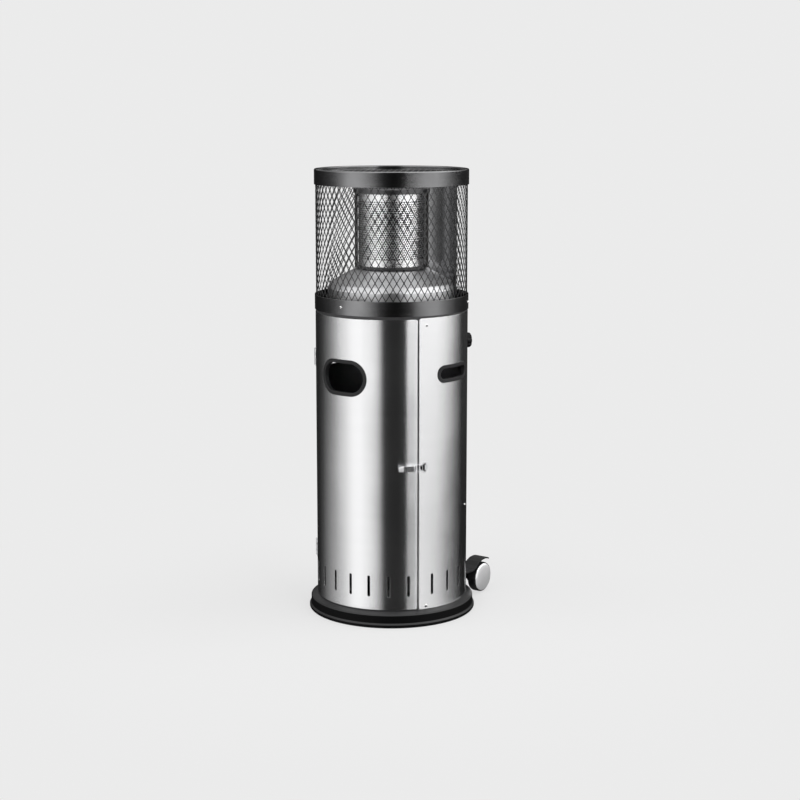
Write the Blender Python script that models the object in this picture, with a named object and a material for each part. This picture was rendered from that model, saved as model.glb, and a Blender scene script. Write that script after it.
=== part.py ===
"""Outdoor gas heater: a round stainless cabinet that hides a gas bottle, with a
burner, a perforated emitter and a mesh guard on top.

Units are metres, +Z up. The origin is the centre of the flat underside of the
base. -Y is the front (the door side), +X is the right-hand side.
Angles round the body are "psi": 0 at the front (-Y), +90 deg at +X, 180 at the back.
"""
import math

import bmesh
import bpy
from mathutils import Matrix, Vector

MM = 0.001

# ------------------------------------------------------------------ driving sizes (mm, deg)
SEG = 48                      # facets round the cabinet
R_SHELL = 196.0               # outer radius of the cabinet
T_SHELL = 1.0                 # sheet thickness of the cabinet
Z_SHELL0, Z_SHELL1 = 40.0, 787.0
PSI_LATCH = 55.9              # door seam on the latch side
PSI_HINGE = -64.0             # door seam on the hinge side
SEAM = 0.45                   # half the seam's width, deg

R_BASE_LIP, R_BASE = 217.5, 213.0
Z_BASE_TOP = 39.6

Z_DECK = 788.5                # underside of the burner deck
R_LOWER_BAND, Z_LB0, Z_LB1 = 197.6, 792.0, 830.0
R_TOP_BAND, Z_TB0, Z_TOP = 197.4, 1109.0, 1148.0
R_GUARD, Z_G0, Z_G1 = 194.3, 800.0, 1131.0
GUARD_COLS, GUARD_ROWS = 108, 1

R_DOME, Z_DOME0 = 164.0, 791.0
R_EMIT, Z_EMIT0, Z_EMIT1 = 85.0, 903.5, 1086.0
R_CAP, Z_CAP0, Z_CAP1 = 98.0, 1087.5, 1101.0
R_REFL, PSI_REFL, HALF_REFL = 167.0, 178.0, 66.0
POST_PSI = (-52.0, 124.0)
POST_R0, POST_R1 = 89.0, 94.5

HANDLE_PSI, HANDLE_Z = 90.5, 642.0
HANDLE_W, HANDLE_H = 108.0, 26.0          # clear slot
DOORWIN_PSI, DOORWIN_Z = -4.0, 634.0
DOORWIN_W, DOORWIN_H = 127.0, 73.0        # clear hand opening
TRIM_W = 9.5                              # width of the trims' flange
DOOR_VENTS = [-4.0 + 15.0 * (i - 3.5) for i in range(8)]
REAR_VENTS = [67.5 + 15.0 * i for i in range(16)]
VENT_W, VENT_Z0, VENT_Z1 = 7.0, 76.0, 131.0

PSI_KNOB, Z_KNOB = 142.0, 700.0
R_KNOB, KNOB_TIP = 20.0, 18.6             # radius, height above the cabinet
KNOB_PUSH = 3.0

R_HINGE = 200.8
HINGE_Z = (149.0, 660.0)

PSI_L0, Z_LATCH = 50.5, 410.0             # frame of the latch's base
PSI_KEEPER = 61.0

WHEEL_Y, WHEEL_Z, WHEEL_R = 232.0, 43.5, 40.0
WHEEL_X0, WHEEL_X1 = 112.5, 136.6         # inner and outer face


# ------------------------------------------------------------------ start clean
for o in list(bpy.data.objects):
    bpy.data.objects.remove(o, do_unlink=True)


def material(name, rgb, rough, metal):
    m = bpy.data.materials.new(name)
    m.use_nodes = True
    b = m.node_tree.nodes["Principled BSDF"]
    b.inputs["Base Color"].default_value = (*rgb, 1)
    b.inputs["Roughness"].default_value = rough
    b.inputs["Metallic"].default_value = metal
    return m


STEEL = material("stainless_sheet", (0.62, 0.62, 0.63), 0.32, 1.0)
POLISHED = material("polished_sheet", (0.72, 0.72, 0.73), 0.12, 1.0)
BLACK = material("black_enamel", (0.02, 0.02, 0.022), 0.38, 0.0)
PLASTIC = material("black_plastic", (0.02, 0.02, 0.021), 0.45, 0.0)
RUBBER = material("black_tyre", (0.018, 0.018, 0.019), 0.7, 0.0)
SILVER = material("silver_disc", (0.75, 0.75, 0.76), 0.3, 0.6)
BRASS = material("brass", (0.72, 0.53, 0.25), 0.3, 1.0)
ZINC = material("zinc_steel", (0.5, 0.5, 0.52), 0.35, 1.0)
IRON = material("burner_iron", (0.08, 0.08, 0.085), 0.6, 0.8)
CERAMIC = material("white_ceramic", (0.85, 0.84, 0.8), 0.35, 0.0)


def sincos(psi):
    a = math.radians(psi)
    return math.sin(a), math.cos(a)


def polar(r, psi, z):
    """Millimetres on the body: radius, angle psi, height."""
    s, c = sincos(psi)
    return Vector((r * s, -r * c, z)) * MM


def on_shell(psi, z, r=R_SHELL):
    """Frame on the cabinet: local x outward, y along growing psi, z up (mm)."""
    s, c = sincos(psi)
    m = Matrix(((s, c, 0, r * s), (-c, s, 0, -r * c), (0, 0, 1, z), (0, 0, 0, 1)))
    out = Matrix.Identity(4)
    for i in range(3):
        for j in range(3):
            out[i][j] = m[i][j]
        out[i][3] = m[i][3] * MM
    return out


def finish(bm, name, mat, matrix=None, sharp=35, origin=None, parent=None):
    """bm is in metres. Writes it as an object; its origin can go on an axis."""
    bmesh.ops.remove_doubles(bm, verts=bm.verts, dist=1e-6)
    bmesh.ops.recalc_face_normals(bm, faces=bm.faces)
    if bm.calc_volume(signed=True) < 0:
        bmesh.ops.reverse_faces(bm, faces=bm.faces)
    me = bpy.data.meshes.new(name)
    if matrix is not None:
        bm.transform(matrix)
    if origin is not None:
        bm.transform(Matrix.Translation(-origin))
    bm.to_mesh(me)
    bm.free()
    me.shade_smooth()
    me.set_sharp_from_angle(angle=math.radians(sharp))
    ob = bpy.data.objects.new(name, me)
    bpy.context.scene.collection.objects.link(ob)
    if mat:
        me.materials.append(mat)
    if parent is not None:
        ob.parent = parent
    elif origin is not None:
        ob.location = origin
    return ob


def empty(name, matrix):
    e = bpy.data.objects.new(name, None)
    e.empty_display_size = 0.02
    bpy.context.scene.collection.objects.link(e)
    e.matrix_world = matrix
    return e


def spin(points, segs, a0=0.0, a1=360.0, closed=True, bm=None):
    """Turns a profile of (radius, height) in mm about Z, from psi a0 to a1."""
    bm = bm or bmesh.new()
    s, c = sincos(a0)
    vs = [bm.verts.new((r * s * MM, -r * c * MM, z * MM)) for r, z in points]
    es = [bm.edges.new((vs[i], vs[i + 1])) for i in range(len(vs) - 1)]
    if closed:
        es.append(bm.edges.new((vs[-1], vs[0])))
    full = abs(a1 - a0 - 360.0) < 1e-6
    got = bmesh.ops.spin(bm, geom=vs + es, cent=(0, 0, 0), axis=(0, 0, 1),
                         angle=math.radians(a1 - a0), steps=segs, use_duplicate=False)
    if full:
        bmesh.ops.remove_doubles(bm, verts=bm.verts, dist=1e-6)
    else:
        last = [g for g in got["geom_last"] if isinstance(g, bmesh.types.BMVert)]
        bm.faces.new(vs)
        ends = sorted(last, key=lambda v: min(
            range(len(points)),
            key=lambda i: abs(math.hypot(v.co.x, v.co.y) - points[i][0] * MM)
            + abs(v.co.z - points[i][1] * MM)))
        bm.faces.new(ends)
    return bm


def turned(name, points, segs, mat, closed=True, matrix=None, a0=0.0, a1=360.0, **kw):
    return finish(spin(points, segs, a0, a1, closed), name, mat, matrix, **kw)


def add_box(bm, x0, x1, y0, y1, z0, z1, matrix=None):
    m = Matrix.Translation(Vector(((x0 + x1), (y0 + y1), (z0 + z1))) * (0.5 * MM))
    m = m @ Matrix.Diagonal(Vector(((x1 - x0), (y1 - y0), (z1 - z0), 1000.0)) * MM)
    if matrix is not None:
        m = matrix @ m
    return bmesh.ops.create_cube(bm, size=1.0, matrix=m)["verts"]


def box_bm(*a, matrix=None):
    bm = bmesh.new()
    add_box(bm, *a, matrix=matrix)
    return bm


def rod_bm(r, p0, p1, segs=12, r2=None, bm=None):
    """Cylinder or cone in mm from p0 to p1."""
    bm = bm or bmesh.new()
    a, b = Vector(p0) * MM, Vector(p1) * MM
    d = b - a
    rot = d.to_track_quat("Z", "Y").to_matrix().to_4x4()
    bmesh.ops.create_cone(bm, cap_ends=True, cap_tris=False, segments=segs,
                          radius1=r * MM, radius2=(r if r2 is None else r2) * MM,
                          depth=d.length, matrix=Matrix.Translation((a + b) / 2) @ rot)
    return bm


def prism_bm(points, h0, h1, axis="Z"):
    """Extrudes a polygon. axis Z: points are (x, y); axis X: points are (y, z)."""
    bm = bmesh.new()

    def at(p, h):
        return (p[0] * MM, p[1] * MM, h * MM) if axis == "Z" else (h * MM, p[0] * MM, p[1] * MM)
    f = bm.faces.new([bm.verts.new(at(p, h0)) for p in points])
    ex = bmesh.ops.extrude_face_region(bm, geom=[f])
    d = Vector((0, 0, h1 - h0)) if axis == "Z" else Vector((h1 - h0, 0, 0))
    bmesh.ops.translate(bm, verts=[g for g in ex["geom"] if isinstance(g, bmesh.types.BMVert)], vec=d * MM)
    bmesh.ops.recalc_face_normals(bm, faces=bm.faces)
    return bm


def guide(bm, name):
    """A cutter or joiner that isn't part of the object."""
    ob = finish(bm, name, None)
    ob.hide_render = True
    ob.display_type = "WIRE"
    ob.hide_viewport = False
    return ob


def boolean(ob, bm, op, name):
    g = guide(bm, name)
    m = ob.modifiers.new(op.lower(), "BOOLEAN")
    m.operation = op
    m.solver = "EXACT"
    m.object = g
    return ob


def cut(ob, bm, name):
    return boolean(ob, bm, "DIFFERENCE", name)


def join(ob, bm, name):
    return boolean(ob, bm, "UNION", name)


def obround(w, h, straight=5, round_=5):
    """Closed path of an obround w x h (mm) with its outward normals."""
    r, half = h / 2, w / 2 - h / 2
    path = []
    for i in range(straight):
        path.append((-half + 2 * half * i / straight, -r, 0.0, -1.0))
    for i in range(round_):
        a = -math.pi / 2 + math.pi * i / round_
        path.append((half + r * math.cos(a), r * math.sin(a), math.cos(a), math.sin(a)))
    for i in range(straight):
        path.append((half - 2 * half * i / straight, r, 0.0, 1.0))
    for i in range(round_):
        a = math.pi / 2 + math.pi * i / round_
        path.append((-half + r * math.cos(a), r * math.sin(a), math.cos(a), math.sin(a)))
    return path


def circle_path(r, n=24):
    return [(r * math.cos(2 * math.pi * i / n), r * math.sin(2 * math.pi * i / n),
             math.cos(2 * math.pi * i / n), math.sin(2 * math.pi * i / n)) for i in range(n)]


def wrap(s, z, n, psi0, z0):
    """A point s mm along the cabinet's skin from psi0 and n mm proud of it."""
    return polar(R_SHELL + n, psi0 + math.degrees(s / R_SHELL), z0 + z)


def trim_bm(path, section, psi0, z0):
    """Sweeps a section of (offset, height) round a path that lies on the skin."""
    bm = bmesh.new()
    rings = [[bm.verts.new(wrap(p[0] + d * p[2], p[1] + d * p[3], n, psi0, z0)) for d, n in section]
             for p in path]
    for i, a in enumerate(rings):
        b = rings[(i + 1) % len(rings)]
        for j in range(len(section)):
            k = (j + 1) % len(section)
            bm.faces.new((a[j], a[k], b[k], b[j]))
    bmesh.ops.recalc_face_normals(bm, faces=bm.faces)
    return bm


def skin_cutter(path, d, psi0, z0, bm=None, n0=-12.0, n1=8.0):
    """A plug through the skin, d mm larger than the path."""
    bm = bm or bmesh.new()
    new, rings = [], []
    for n in (n0, n1):
        ring = [bm.verts.new(wrap(p[0] + d * p[2], p[1] + d * p[3], n, psi0, z0)) for p in path]
        mid = bm.verts.new(wrap(0, 0, n, psi0, z0))
        rings.append(ring)
        for i in range(len(ring)):
            new.append(bm.faces.new((ring[i], ring[(i + 1) % len(ring)], mid)))
    a, b = rings
    for i in range(len(a)):
        k = (i + 1) % len(a)
        new.append(bm.faces.new((a[i], b[i], b[k], a[k])))
    bmesh.ops.recalc_face_normals(bm, faces=new)
    return bm


TRIM_SECTION = [(0, -9), (0, 1.3), (0.9, 2.2), (8.4, 2.2), (9.5, 1.1), (9.5, 0.4), (2.2, 0.4), (2.2, -9)]
TRIM_GAP = 2.7


def vents_bm(bm, angles, z0, z1):
    for a in angles:
        add_box(bm, -6, 6, -VENT_W / 2, VENT_W / 2, z0, z1, matrix=on_shell(a, 0))
    return bm


def open_sheet(bm, width, name, mat, thick, inward):
    """Turns each face of a sheet into an opening, leaves strands between and gives them a thickness."""
    faces = list(bm.faces)
    bmesh.ops.recalc_face_normals(bm, faces=faces)
    bmesh.ops.inset_individual(bm, faces=faces, thickness=width * MM, depth=0.0, use_even_offset=True)
    bmesh.ops.delete(bm, geom=faces, context="FACES")
    me = bpy.data.meshes.new(name)
    bm.to_mesh(me)
    bm.free()
    me.materials.append(mat)
    ob = bpy.data.objects.new(name, me)
    bpy.context.scene.collection.objects.link(ob)
    solid = ob.modifiers.new("thickness", "SOLIDIFY")
    solid.thickness, solid.offset, solid.use_rim = thick * MM, -1.0 if inward else 1.0, True
    return ob


# ------------------------------------------------------------------ base
turned("base_pan", [
    (0, 0), (215.0, 0), (R_BASE_LIP, 3), (R_BASE_LIP, 8.5), (R_BASE, 12.5), (R_BASE, 31.0),
    (210.5, 33.6), (194.4, Z_BASE_TOP), (194.4, 58), (193.1, 58), (193.1, 38.2),
    (211.2, 31.2), (211.2, 11.6), (214.6, 1.6), (0, 1.6)],
    SEG, BLACK, closed=False)

# ------------------------------------------------------------------ cabinet
rear = turned("rear_shell", [
    (R_SHELL, Z_SHELL0), (R_SHELL, Z_SHELL1), (R_SHELL - T_SHELL, Z_SHELL1), (R_SHELL - T_SHELL, Z_SHELL0)],
    50, STEEL, a0=PSI_LATCH + SEAM, a1=360 + PSI_HINGE - SEAM)
cutter = vents_bm(bmesh.new(), REAR_VENTS, VENT_Z0, VENT_Z1)
for psi in (HANDLE_PSI, -HANDLE_PSI):
    skin_cutter(obround(HANDLE_W, HANDLE_H), TRIM_GAP, psi, HANDLE_Z, bm=cutter)
skin_cutter(circle_path(8.0, 16), 0, PSI_KNOB, Z_KNOB, bm=cutter)
cut(rear, cutter, "guide_rear_cuts")

HINGE_AXIS = polar(R_HINGE, PSI_HINGE, 0)
door_pivot = empty("door_pivot", Matrix.Translation(HINGE_AXIS))


def with_door(bm, name, mat, **kw):
    return finish(bm, name, mat, origin=HINGE_AXIS, parent=door_pivot, **kw)


door = with_door(spin([
    (R_SHELL, 42.0), (R_SHELL, 784.5), (R_SHELL - T_SHELL, 784.5), (R_SHELL - T_SHELL, 42.0)],
    20, PSI_HINGE + SEAM, PSI_LATCH - SEAM), "door_panel", STEEL)
cutter = vents_bm(bmesh.new(), DOOR_VENTS, VENT_Z0, VENT_Z1)
skin_cutter(obround(DOORWIN_W, DOORWIN_H, 4, 8), TRIM_GAP, DOORWIN_PSI, DOORWIN_Z, bm=cutter)
cut(door, cutter, "guide_door_cuts")
with_door(trim_bm(obround(DOORWIN_W, DOORWIN_H, 4, 8), TRIM_SECTION, DOORWIN_PSI, DOORWIN_Z),
          "door_opening_trim", PLASTIC)
for side, psi in (("right", HANDLE_PSI), ("left", -HANDLE_PSI)):
    finish(trim_bm(obround(HANDLE_W, HANDLE_H), TRIM_SECTION, psi, HANDLE_Z), "handle_trim_" + side, PLASTIC)


def jamb(name, psi_door, psi_shell):
    """Angle strip inside the cabinet that the door's edge closes against."""
    n = 3
    out = [(191.8, psi_door + (psi_shell - psi_door) * i / n) for i in range(n + 1)]
    sign = 1 if psi_shell > psi_door else -1
    back = math.degrees(1.2 / 190.0) * sign
    pts = out + [(181.0, psi_shell), (181.0, psi_shell - back), (190.6, psi_shell - back)]
    pts += [(190.6, psi_shell - back + (psi_door - psi_shell + back) * i / n) for i in range(1, n + 1)]
    poly = [(r * sincos(p)[0], -r * sincos(p)[1]) for r, p in pts]
    return finish(prism_bm(poly, 60.0, 754.0), name, ZINC)


jamb("latch_jamb", 52.0, 61.0)
jamb("hinge_jamb", -60.5, -69.5)

# ------------------------------------------------------------------ deck, bands, guard
deck = turned("burner_deck", [
    (32, Z_DECK), (193.1, Z_DECK), (193.1, 757), (194.3, 757), (194.3, Z_DECK - 0.2),
    (195.8, Z_DECK - 0.2), (195.8, 812), (194.9, 812), (194.9, Z_DECK + 1.5), (32, Z_DECK + 1.5)],
    SEG, BLACK)
PIPE_HOLE = (97.5, 161.0)
hole = polar(PIPE_HOLE[0], PIPE_HOLE[1], 0) / MM
cut(deck, rod_bm(13.5, (hole.x, hole.y, 780), (hole.x, hole.y, 798), 12), "guide_deck_hole")

turned("lower_band", [
    (196.3, Z_LB0), (R_LOWER_BAND, Z_LB0), (R_LOWER_BAND, Z_LB1), (196.3, Z_LB1)], SEG, BLACK)
turned("top_band", [
    (196.2, Z_TB0), (R_TOP_BAND, Z_TB0), (R_TOP_BAND, Z_TOP - 4.0), (194.2, Z_TOP),
    (190.8, Z_TOP - 3.5), (190.8, 1136.2), (186.0, 1136.2), (186.0, 1135.0),
    (192.0, 1135.0), (192.0, Z_TOP - 3.6), (194.2, Z_TOP - 1.4), (196.2, Z_TOP - 4.0)], 40, BLACK)

bm = bmesh.new()
grid = [[bm.verts.new(polar(R_GUARD, 360.0 * i / GUARD_COLS, Z_G0 + (Z_G1 - Z_G0) * j / GUARD_ROWS))
         for i in range(GUARD_COLS)] for j in range(GUARD_ROWS + 1)]
for low, high in zip(grid, grid[1:]):
    for i in range(GUARD_COLS):
        n = (i + 1) % GUARD_COLS
        bm.faces.new((low[i], low[n], high[n], high[i]))
open_sheet(bm, 1.2, "guard_mesh", BLACK, 1.0, True)

bm = bmesh.new()
radii, spokes = [26.0, 190.2], 12
rings = [[bm.verts.new(polar(r, 360.0 * (k + 0.5) / spokes, 1136.7)) for k in range(spokes)] for r in radii]
for a, b in zip(rings, rings[1:]):
    for k in range(spokes):
        n = (k + 1) % spokes
        bm.faces.new((a[k], a[n], b[n], b[k]))
open_sheet(bm, 2.5, "top_grille", BLACK, 1.2, False)

# ------------------------------------------------------------------ burner housing and emitter
turned("burner_dome", [
    (R_DOME, Z_DOME0), (R_DOME, 846), (157.5, 858), (126, 877), (94, 892.6), (80, 895.5),
    (80, 894.4), (93.6, 891.5), (125.5, 876), (156.8, 857), (162.9, 845.6), (162.9, Z_DOME0)],
    36, STEEL)
turned("emitter_seat", [(79.0, 896.0), (88.5, 896.0), (88.5, 903.0), (79.0, 903.0)], 32, BLACK)
turned("emitter_screen", [(R_EMIT - 0.8, Z_EMIT0), (R_EMIT, Z_EMIT0), (R_EMIT, Z_EMIT1), (R_EMIT - 0.8, Z_EMIT1)],
       32, STEEL)
turned("emitter_cap", [
    (0, Z_CAP1), (95.5, Z_CAP1), (R_CAP, Z_CAP1 - 2.5), (R_CAP, Z_CAP0), (96.6, Z_CAP0), (96.6, Z_CAP1 - 1.3),
    (0, Z_CAP1 - 1.3)], 32, BLACK, closed=False)
for side, psi in zip(("left", "right"), POST_PSI):
    finish(box_bm(POST_R0, POST_R1, -6, 6, 896.5, Z_CAP0 - 0.4, matrix=on_shell(psi, 0, r=0)),
           "emitter_post_" + side, BLACK)
turned("reflector_panel", [(R_REFL, 791.0), (R_REFL, 1129.0), (R_REFL - 0.9, 1129.0), (R_REFL - 0.9, 791.0)],
       22, POLISHED, a0=PSI_REFL - HALF_REFL, a1=PSI_REFL + HALF_REFL)

turned("burner_head", [
    (17.0, 872.0), (61.0, 885.0), (62.0, 895.0), (0, 895.0),
    (0, 893.4), (60.4, 893.4), (59.4, 886.2), (17.0, 873.8)],
    24, IRON, closed=True)
tube = turned("mixing_tube", [(14.2, 778.0), (16.0, 778.0), (16.0, 871.6), (14.2, 871.6)], 20, ZINC)
cutter = bmesh.new()
rod_bm(4.5, (-25, 0, 797.5), (25, 0, 797.5), 10, bm=cutter)
cut(tube, cutter, "guide_air_ports")
bracket = turned("burner_bracket", [(16.6, 790.4), (42.0, 790.4), (42.0, 792.0), (16.6, 792.0)], 20, ZINC)
legs = bmesh.new()
rod = [(-26, 757), (26, 757), (26, 791.2), (24.4, 791.2), (24.4, 758.6), (-24.4, 758.6), (-24.4, 791.2), (-26, 791.2)]
f = legs.faces.new([legs.verts.new((x * MM, -6 * MM, z * MM)) for x, z in rod])
ex = bmesh.ops.extrude_face_region(legs, geom=[f])
bmesh.ops.translate(legs, verts=[g for g in ex["geom"] if isinstance(g, bmesh.types.BMVert)], vec=(0, 12 * MM, 0))
bmesh.ops.recalc_face_normals(legs, faces=legs.faces)
join(bracket, legs, "guide_bracket_legs")
turned("injector", [(0, 759.0), (6.5, 759.0), (6.5, 766.0), (4.0, 769.0), (2.2, 775.5), (0, 775.5)], 12, BRASS,
       closed=False)

# ------------------------------------------------------------------ gas valve and control knob
VALVE = on_shell(PSI_KNOB, Z_KNOB)
valve = finish(box_bm(-46, -8, -21, 21, -22, 22), "gas_valve", BRASS, VALVE)
bev = valve.modifiers.new("edges", "BEVEL")
bev.width, bev.segments, bev.limit_method = 0.003, 1, "ANGLE"
bore = bmesh.new()
rod_bm(5.2, (-38, 0, 0), (-4, 0, 0), 16, bm=bore)
bmesh.ops.transform(bore, matrix=VALVE, verts=bore.verts)
cut(valve, bore, "guide_valve_bore")
finish(trim_bm(circle_path(9.0, 20), [(0, 0.4), (0, 1.3), (9, 1.3), (18.0, 1.3), (18.4, 0.4), (9, 0.4)],
               PSI_KNOB, Z_KNOB), "knob_bezel", ZINC)

knob_axis = empty("knob_axis", VALVE)
KR = Matrix.Rotation(math.pi / 2, 4, "Y")     # turned profiles: z becomes the outward axis


def on_knob(bm, name, mat, **kw):
    bm.transform(KR)
    return finish(bm, name, mat, parent=knob_axis, **kw)


on_knob(spin([(0, -33.0), (4.6, -33.0), (4.6, -28.0), (2.0, -28.0), (2.0, -24.0), (0, -24.0)], 12, closed=False),
        "valve_plunger", ZINC)
on_knob(spin([(0, -20.0), (4.4, -20.0), (4.4, 14.0), (0, 14.0)], 12, closed=False), "valve_stem", ZINC)
knob = on_knob(spin([
    (4.8, 5.0), (R_KNOB - 0.6, 5.0), (R_KNOB, 6.0), (R_KNOB - 0.6, 15.0), (R_KNOB - 3.6, KNOB_TIP), (0, KNOB_TIP),
    (0, 14.6), (4.8, 14.6)], 24, closed=True), "control_knob", PLASTIC)
grip = bmesh.new()
for k in range(8):
    a = math.radians(45 * k + 22.5)
    rod_bm(3.0, ((R_KNOB + 1.7) * math.cos(a), (R_KNOB + 1.7) * math.sin(a), 8.5),
           ((R_KNOB + 1.7) * math.cos(a), (R_KNOB + 1.7) * math.sin(a), 30), 8, bm=grip)
grip.transform(VALVE @ KR)
cut(knob, grip, "guide_knob_flutes")

NIP = VALVE @ Matrix.Translation((-27 * MM, 0, 0))
turned("inlet_nipple", [(4.0, -22.4), (9.0, -22.4), (9.0, -31.0), (6.6, -32.0), (6.6, -37.0), (7.4, -38.5),
                        (5.8, -44.0), (4.0, -44.0)], 12, BRASS, matrix=NIP)


def pipe(name, points, r, mat, res=2):
    """Bent tube along a smooth curve through the points (mm)."""
    pts = [Vector(p) for p in points]
    route = []
    n = len(pts)
    for i in range(n - 1):
        p0, p1, p2, p3 = pts[max(i - 1, 0)], pts[i], pts[i + 1], pts[min(i + 2, n - 1)]
        steps = max(1, int((p2 - p1).length / 18.0))
        for k in range(steps):
            t = k / steps
            route.append(0.5 * ((2 * p1) + (p2 - p0) * t + (2 * p0 - 5 * p1 + 4 * p2 - p3) * t * t
                                + (3 * p1 - p0 - 3 * p2 + p3) * t ** 3))
    route.append(pts[-1])
    cu = bpy.data.curves.new(name, "CURVE")
    cu.dimensions = "3D"
    sp = cu.splines.new("POLY")
    sp.points.add(len(route) - 1)
    for q, p in zip(sp.points, route):
        q.co = (p.x * MM, p.y * MM, p.z * MM, 1)
    cu.bevel_depth = r * MM
    cu.bevel_resolution = res
    cu.use_fill_caps = True
    cu.materials.append(mat)
    ob = bpy.data.objects.new(name, cu)
    bpy.context.scene.collection.objects.link(ob)
    return ob


def at(psi, r, z):
    v = polar(r, psi, z) / MM
    return (v.x, v.y, v.z)


pipe("gas_feed_pipe", [at(137, 168, 722.8), at(137, 168, 728), at(137, 161, 737), at(137, 142, 739), at(137, 60, 734),
                       at(137, 18, 730), at(137, 3, 737), (0, 0, 747), (0, 0, 756.2)], 4.0, BRASS)
pipe("pilot_pipe", [at(145.6, 178, 723.0), at(146, 177, 731), at(149, 154, 744), at(156, 116, 750), at(160, 102, 765),
                    at(160, 100, 789), at(162, 99, 808), at(172, 84, 835), at(178, 73, 852), at(178, 71, 868)],
     2.2, BRASS)
pipe("thermocouple", [at(142, 158, 723.0), at(142.5, 156, 730), at(149, 128, 740), at(155, 104, 750), at(157, 95.5, 770),
                      at(157, 95, 790), at(158, 93, 812), at(166, 78, 838), at(169, 71, 858), at(169, 70, 898)],
     1.6, ZINC)
pipe("igniter_lead", [at(147.6, 166, 723.0), at(148.3, 163, 730), at(158, 128, 738), at(165, 100, 750), at(165.5, 94.5, 770),
                      at(165, 94, 790), at(169, 92, 812), at(182, 82, 838), at(187, 73, 856), at(187, 71, 866)],
     1.6, PLASTIC)
pil = polar(71, 178, 0) / MM
turned("pilot_burner", [(0, 868.4), (4.2, 868.4), (4.2, 880), (5.2, 880), (5.2, 897), (3.6, 899), (0, 899)], 12,
       BRASS, closed=False, matrix=Matrix.Translation(Vector((pil.x, pil.y, 0)) * MM))
ele = polar(71, 187, 0) / MM
turned("igniter_electrode", [(0, 866.5), (3.0, 866.5), (3.0, 886), (1.0, 888), (1.0, 899), (0, 899)], 10,
       CERAMIC, closed=False, matrix=Matrix.Translation(Vector((ele.x, ele.y, 0)) * MM))
sw = finish(box_bm(45, 75, 70, 102, 767, 788.0), "tilt_switch", PLASTIC)
bev = sw.modifiers.new("edges", "BEVEL")
bev.width, bev.segments, bev.limit_method = 0.0025, 1, "ANGLE"

# ------------------------------------------------------------------ band screws
for k, spot in enumerate(("front", "right", "left")):
    one = spin([(0, 2.2), (2.2, 1.7), (3.6, 0.35), (0, 0.35)], 10, closed=False)
    finish(one, "band_screw_" + spot, ZINC, on_shell(-4.0 + 120.0 * k, 811.0, R_LOWER_BAND) @ KR)

# ------------------------------------------------------------------ door hinges


def skin_plate(psi0, psi1, n0, n1, z0, z1, steps):
    pts = [(R_SHELL + n1, psi0 + (psi1 - psi0) * i / steps) for i in range(steps + 1)]
    pts += [(R_SHELL + n0, psi1 + (psi0 - psi1) * i / steps) for i in range(steps + 1)]
    return prism_bm([(r * sincos(p)[0], -r * sincos(p)[1]) for r, p in pts], z0, z1)


def knuckle(bm, z0, z1, r=4.0):
    return rod_bm(r, (HINGE_AXIS.x / MM, HINGE_AXIS.y / MM, z0), (HINGE_AXIS.x / MM, HINGE_AXIS.y / MM, z1), 14, bm=bm)


def gather(parts):
    """One guide mesh out of several closed shapes."""
    bm = bmesh.new()
    for one in parts:
        tmp = bpy.data.meshes.new("tmp")
        one.to_mesh(tmp)
        one.free()
        bm.from_mesh(tmp)
        bpy.data.meshes.remove(tmp)
    return bm


for spot, z in zip(("lower", "upper"), HINGE_Z):
    leaf = finish(skin_plate(PSI_HINGE - 7.6, PSI_HINGE - 1.7, 0.4, 1.6, z - 22, z + 22, 2),
                  "hinge_leaf_fixed_" + spot, STEEL)
    ends = ((-22, -8), (8, 22))
    join(leaf, gather([skin_plate(PSI_HINGE - 2.2, PSI_HINGE - 0.1, 0.4, 1.6, z + a, z + b, 1) for a, b in ends]),
         "guide_tabs_fixed_" + spot)
    join(leaf, gather([knuckle(None, z + a, z + b) for a, b in ends]), "guide_knuckles_fixed_" + spot)
    cut(leaf, knuckle(None, z - 30, z + 30, 2.4), "guide_bore_fixed_" + spot)
    leaf = with_door(skin_plate(PSI_HINGE + 1.7, PSI_HINGE + 7.6, 0.4, 1.6, z - 22, z + 22, 2),
                     "hinge_leaf_door_" + spot, STEEL)
    join(leaf, skin_plate(PSI_HINGE + 0.1, PSI_HINGE + 2.2, 0.4, 1.6, z - 7.4, z + 7.4, 1), "guide_tab_door_" + spot)
    join(leaf, knuckle(None, z - 7.4, z + 7.4), "guide_knuckle_door_" + spot)
    cut(leaf, knuckle(None, z - 30, z + 30, 2.4), "guide_bore_door_" + spot)
    finish(knuckle(None, z - 23, z + 23, 2.0), "hinge_pin_" + spot, ZINC)

# ------------------------------------------------------------------ draw latch
L0 = on_shell(PSI_L0, Z_LATCH)
LP, LB = (7.0, 9.0), (7.0, -12.0)           # lever pivot, bail pivot, (x, y) in L0
base = box_bm(0.4, 1.6, -11, 12, -6.2, 6.2, matrix=L0)
base = with_door(base, "latch_base", ZINC)
ears = bmesh.new()
for s in (1, -1):
    add_box(ears, 1.0, 9.3, 6.2, 11.8, min(s * 5.0, s * 6.2), max(s * 5.0, s * 6.2), matrix=L0)
join(base, ears, "guide_latch_ears")
holes = bmesh.new()
rod_bm(1.6, (*LP, -9), (*LP, 9), 10, bm=holes)
holes.transform(L0)
cut(base, holes, "guide_latch_holes")
pin = rod_bm(1.25, (*LP, -8.0), (*LP, 8.0), 10)
pin.transform(L0)
with_door(pin, "latch_pin", ZINC)

lever_pivot = empty("lever_pivot", L0 @ Matrix.Translation((LP[0] * MM, LP[1] * MM, 0)))
LEV = lever_pivot.matrix_world.copy()


def lever_part(bm, name, mat):
    """bm in L0's frame, mm already scaled."""
    bm.transform(Matrix.Translation((-LP[0] * MM, -LP[1] * MM, 0)))
    return finish(bm, name, mat, parent=lever_pivot)


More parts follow.
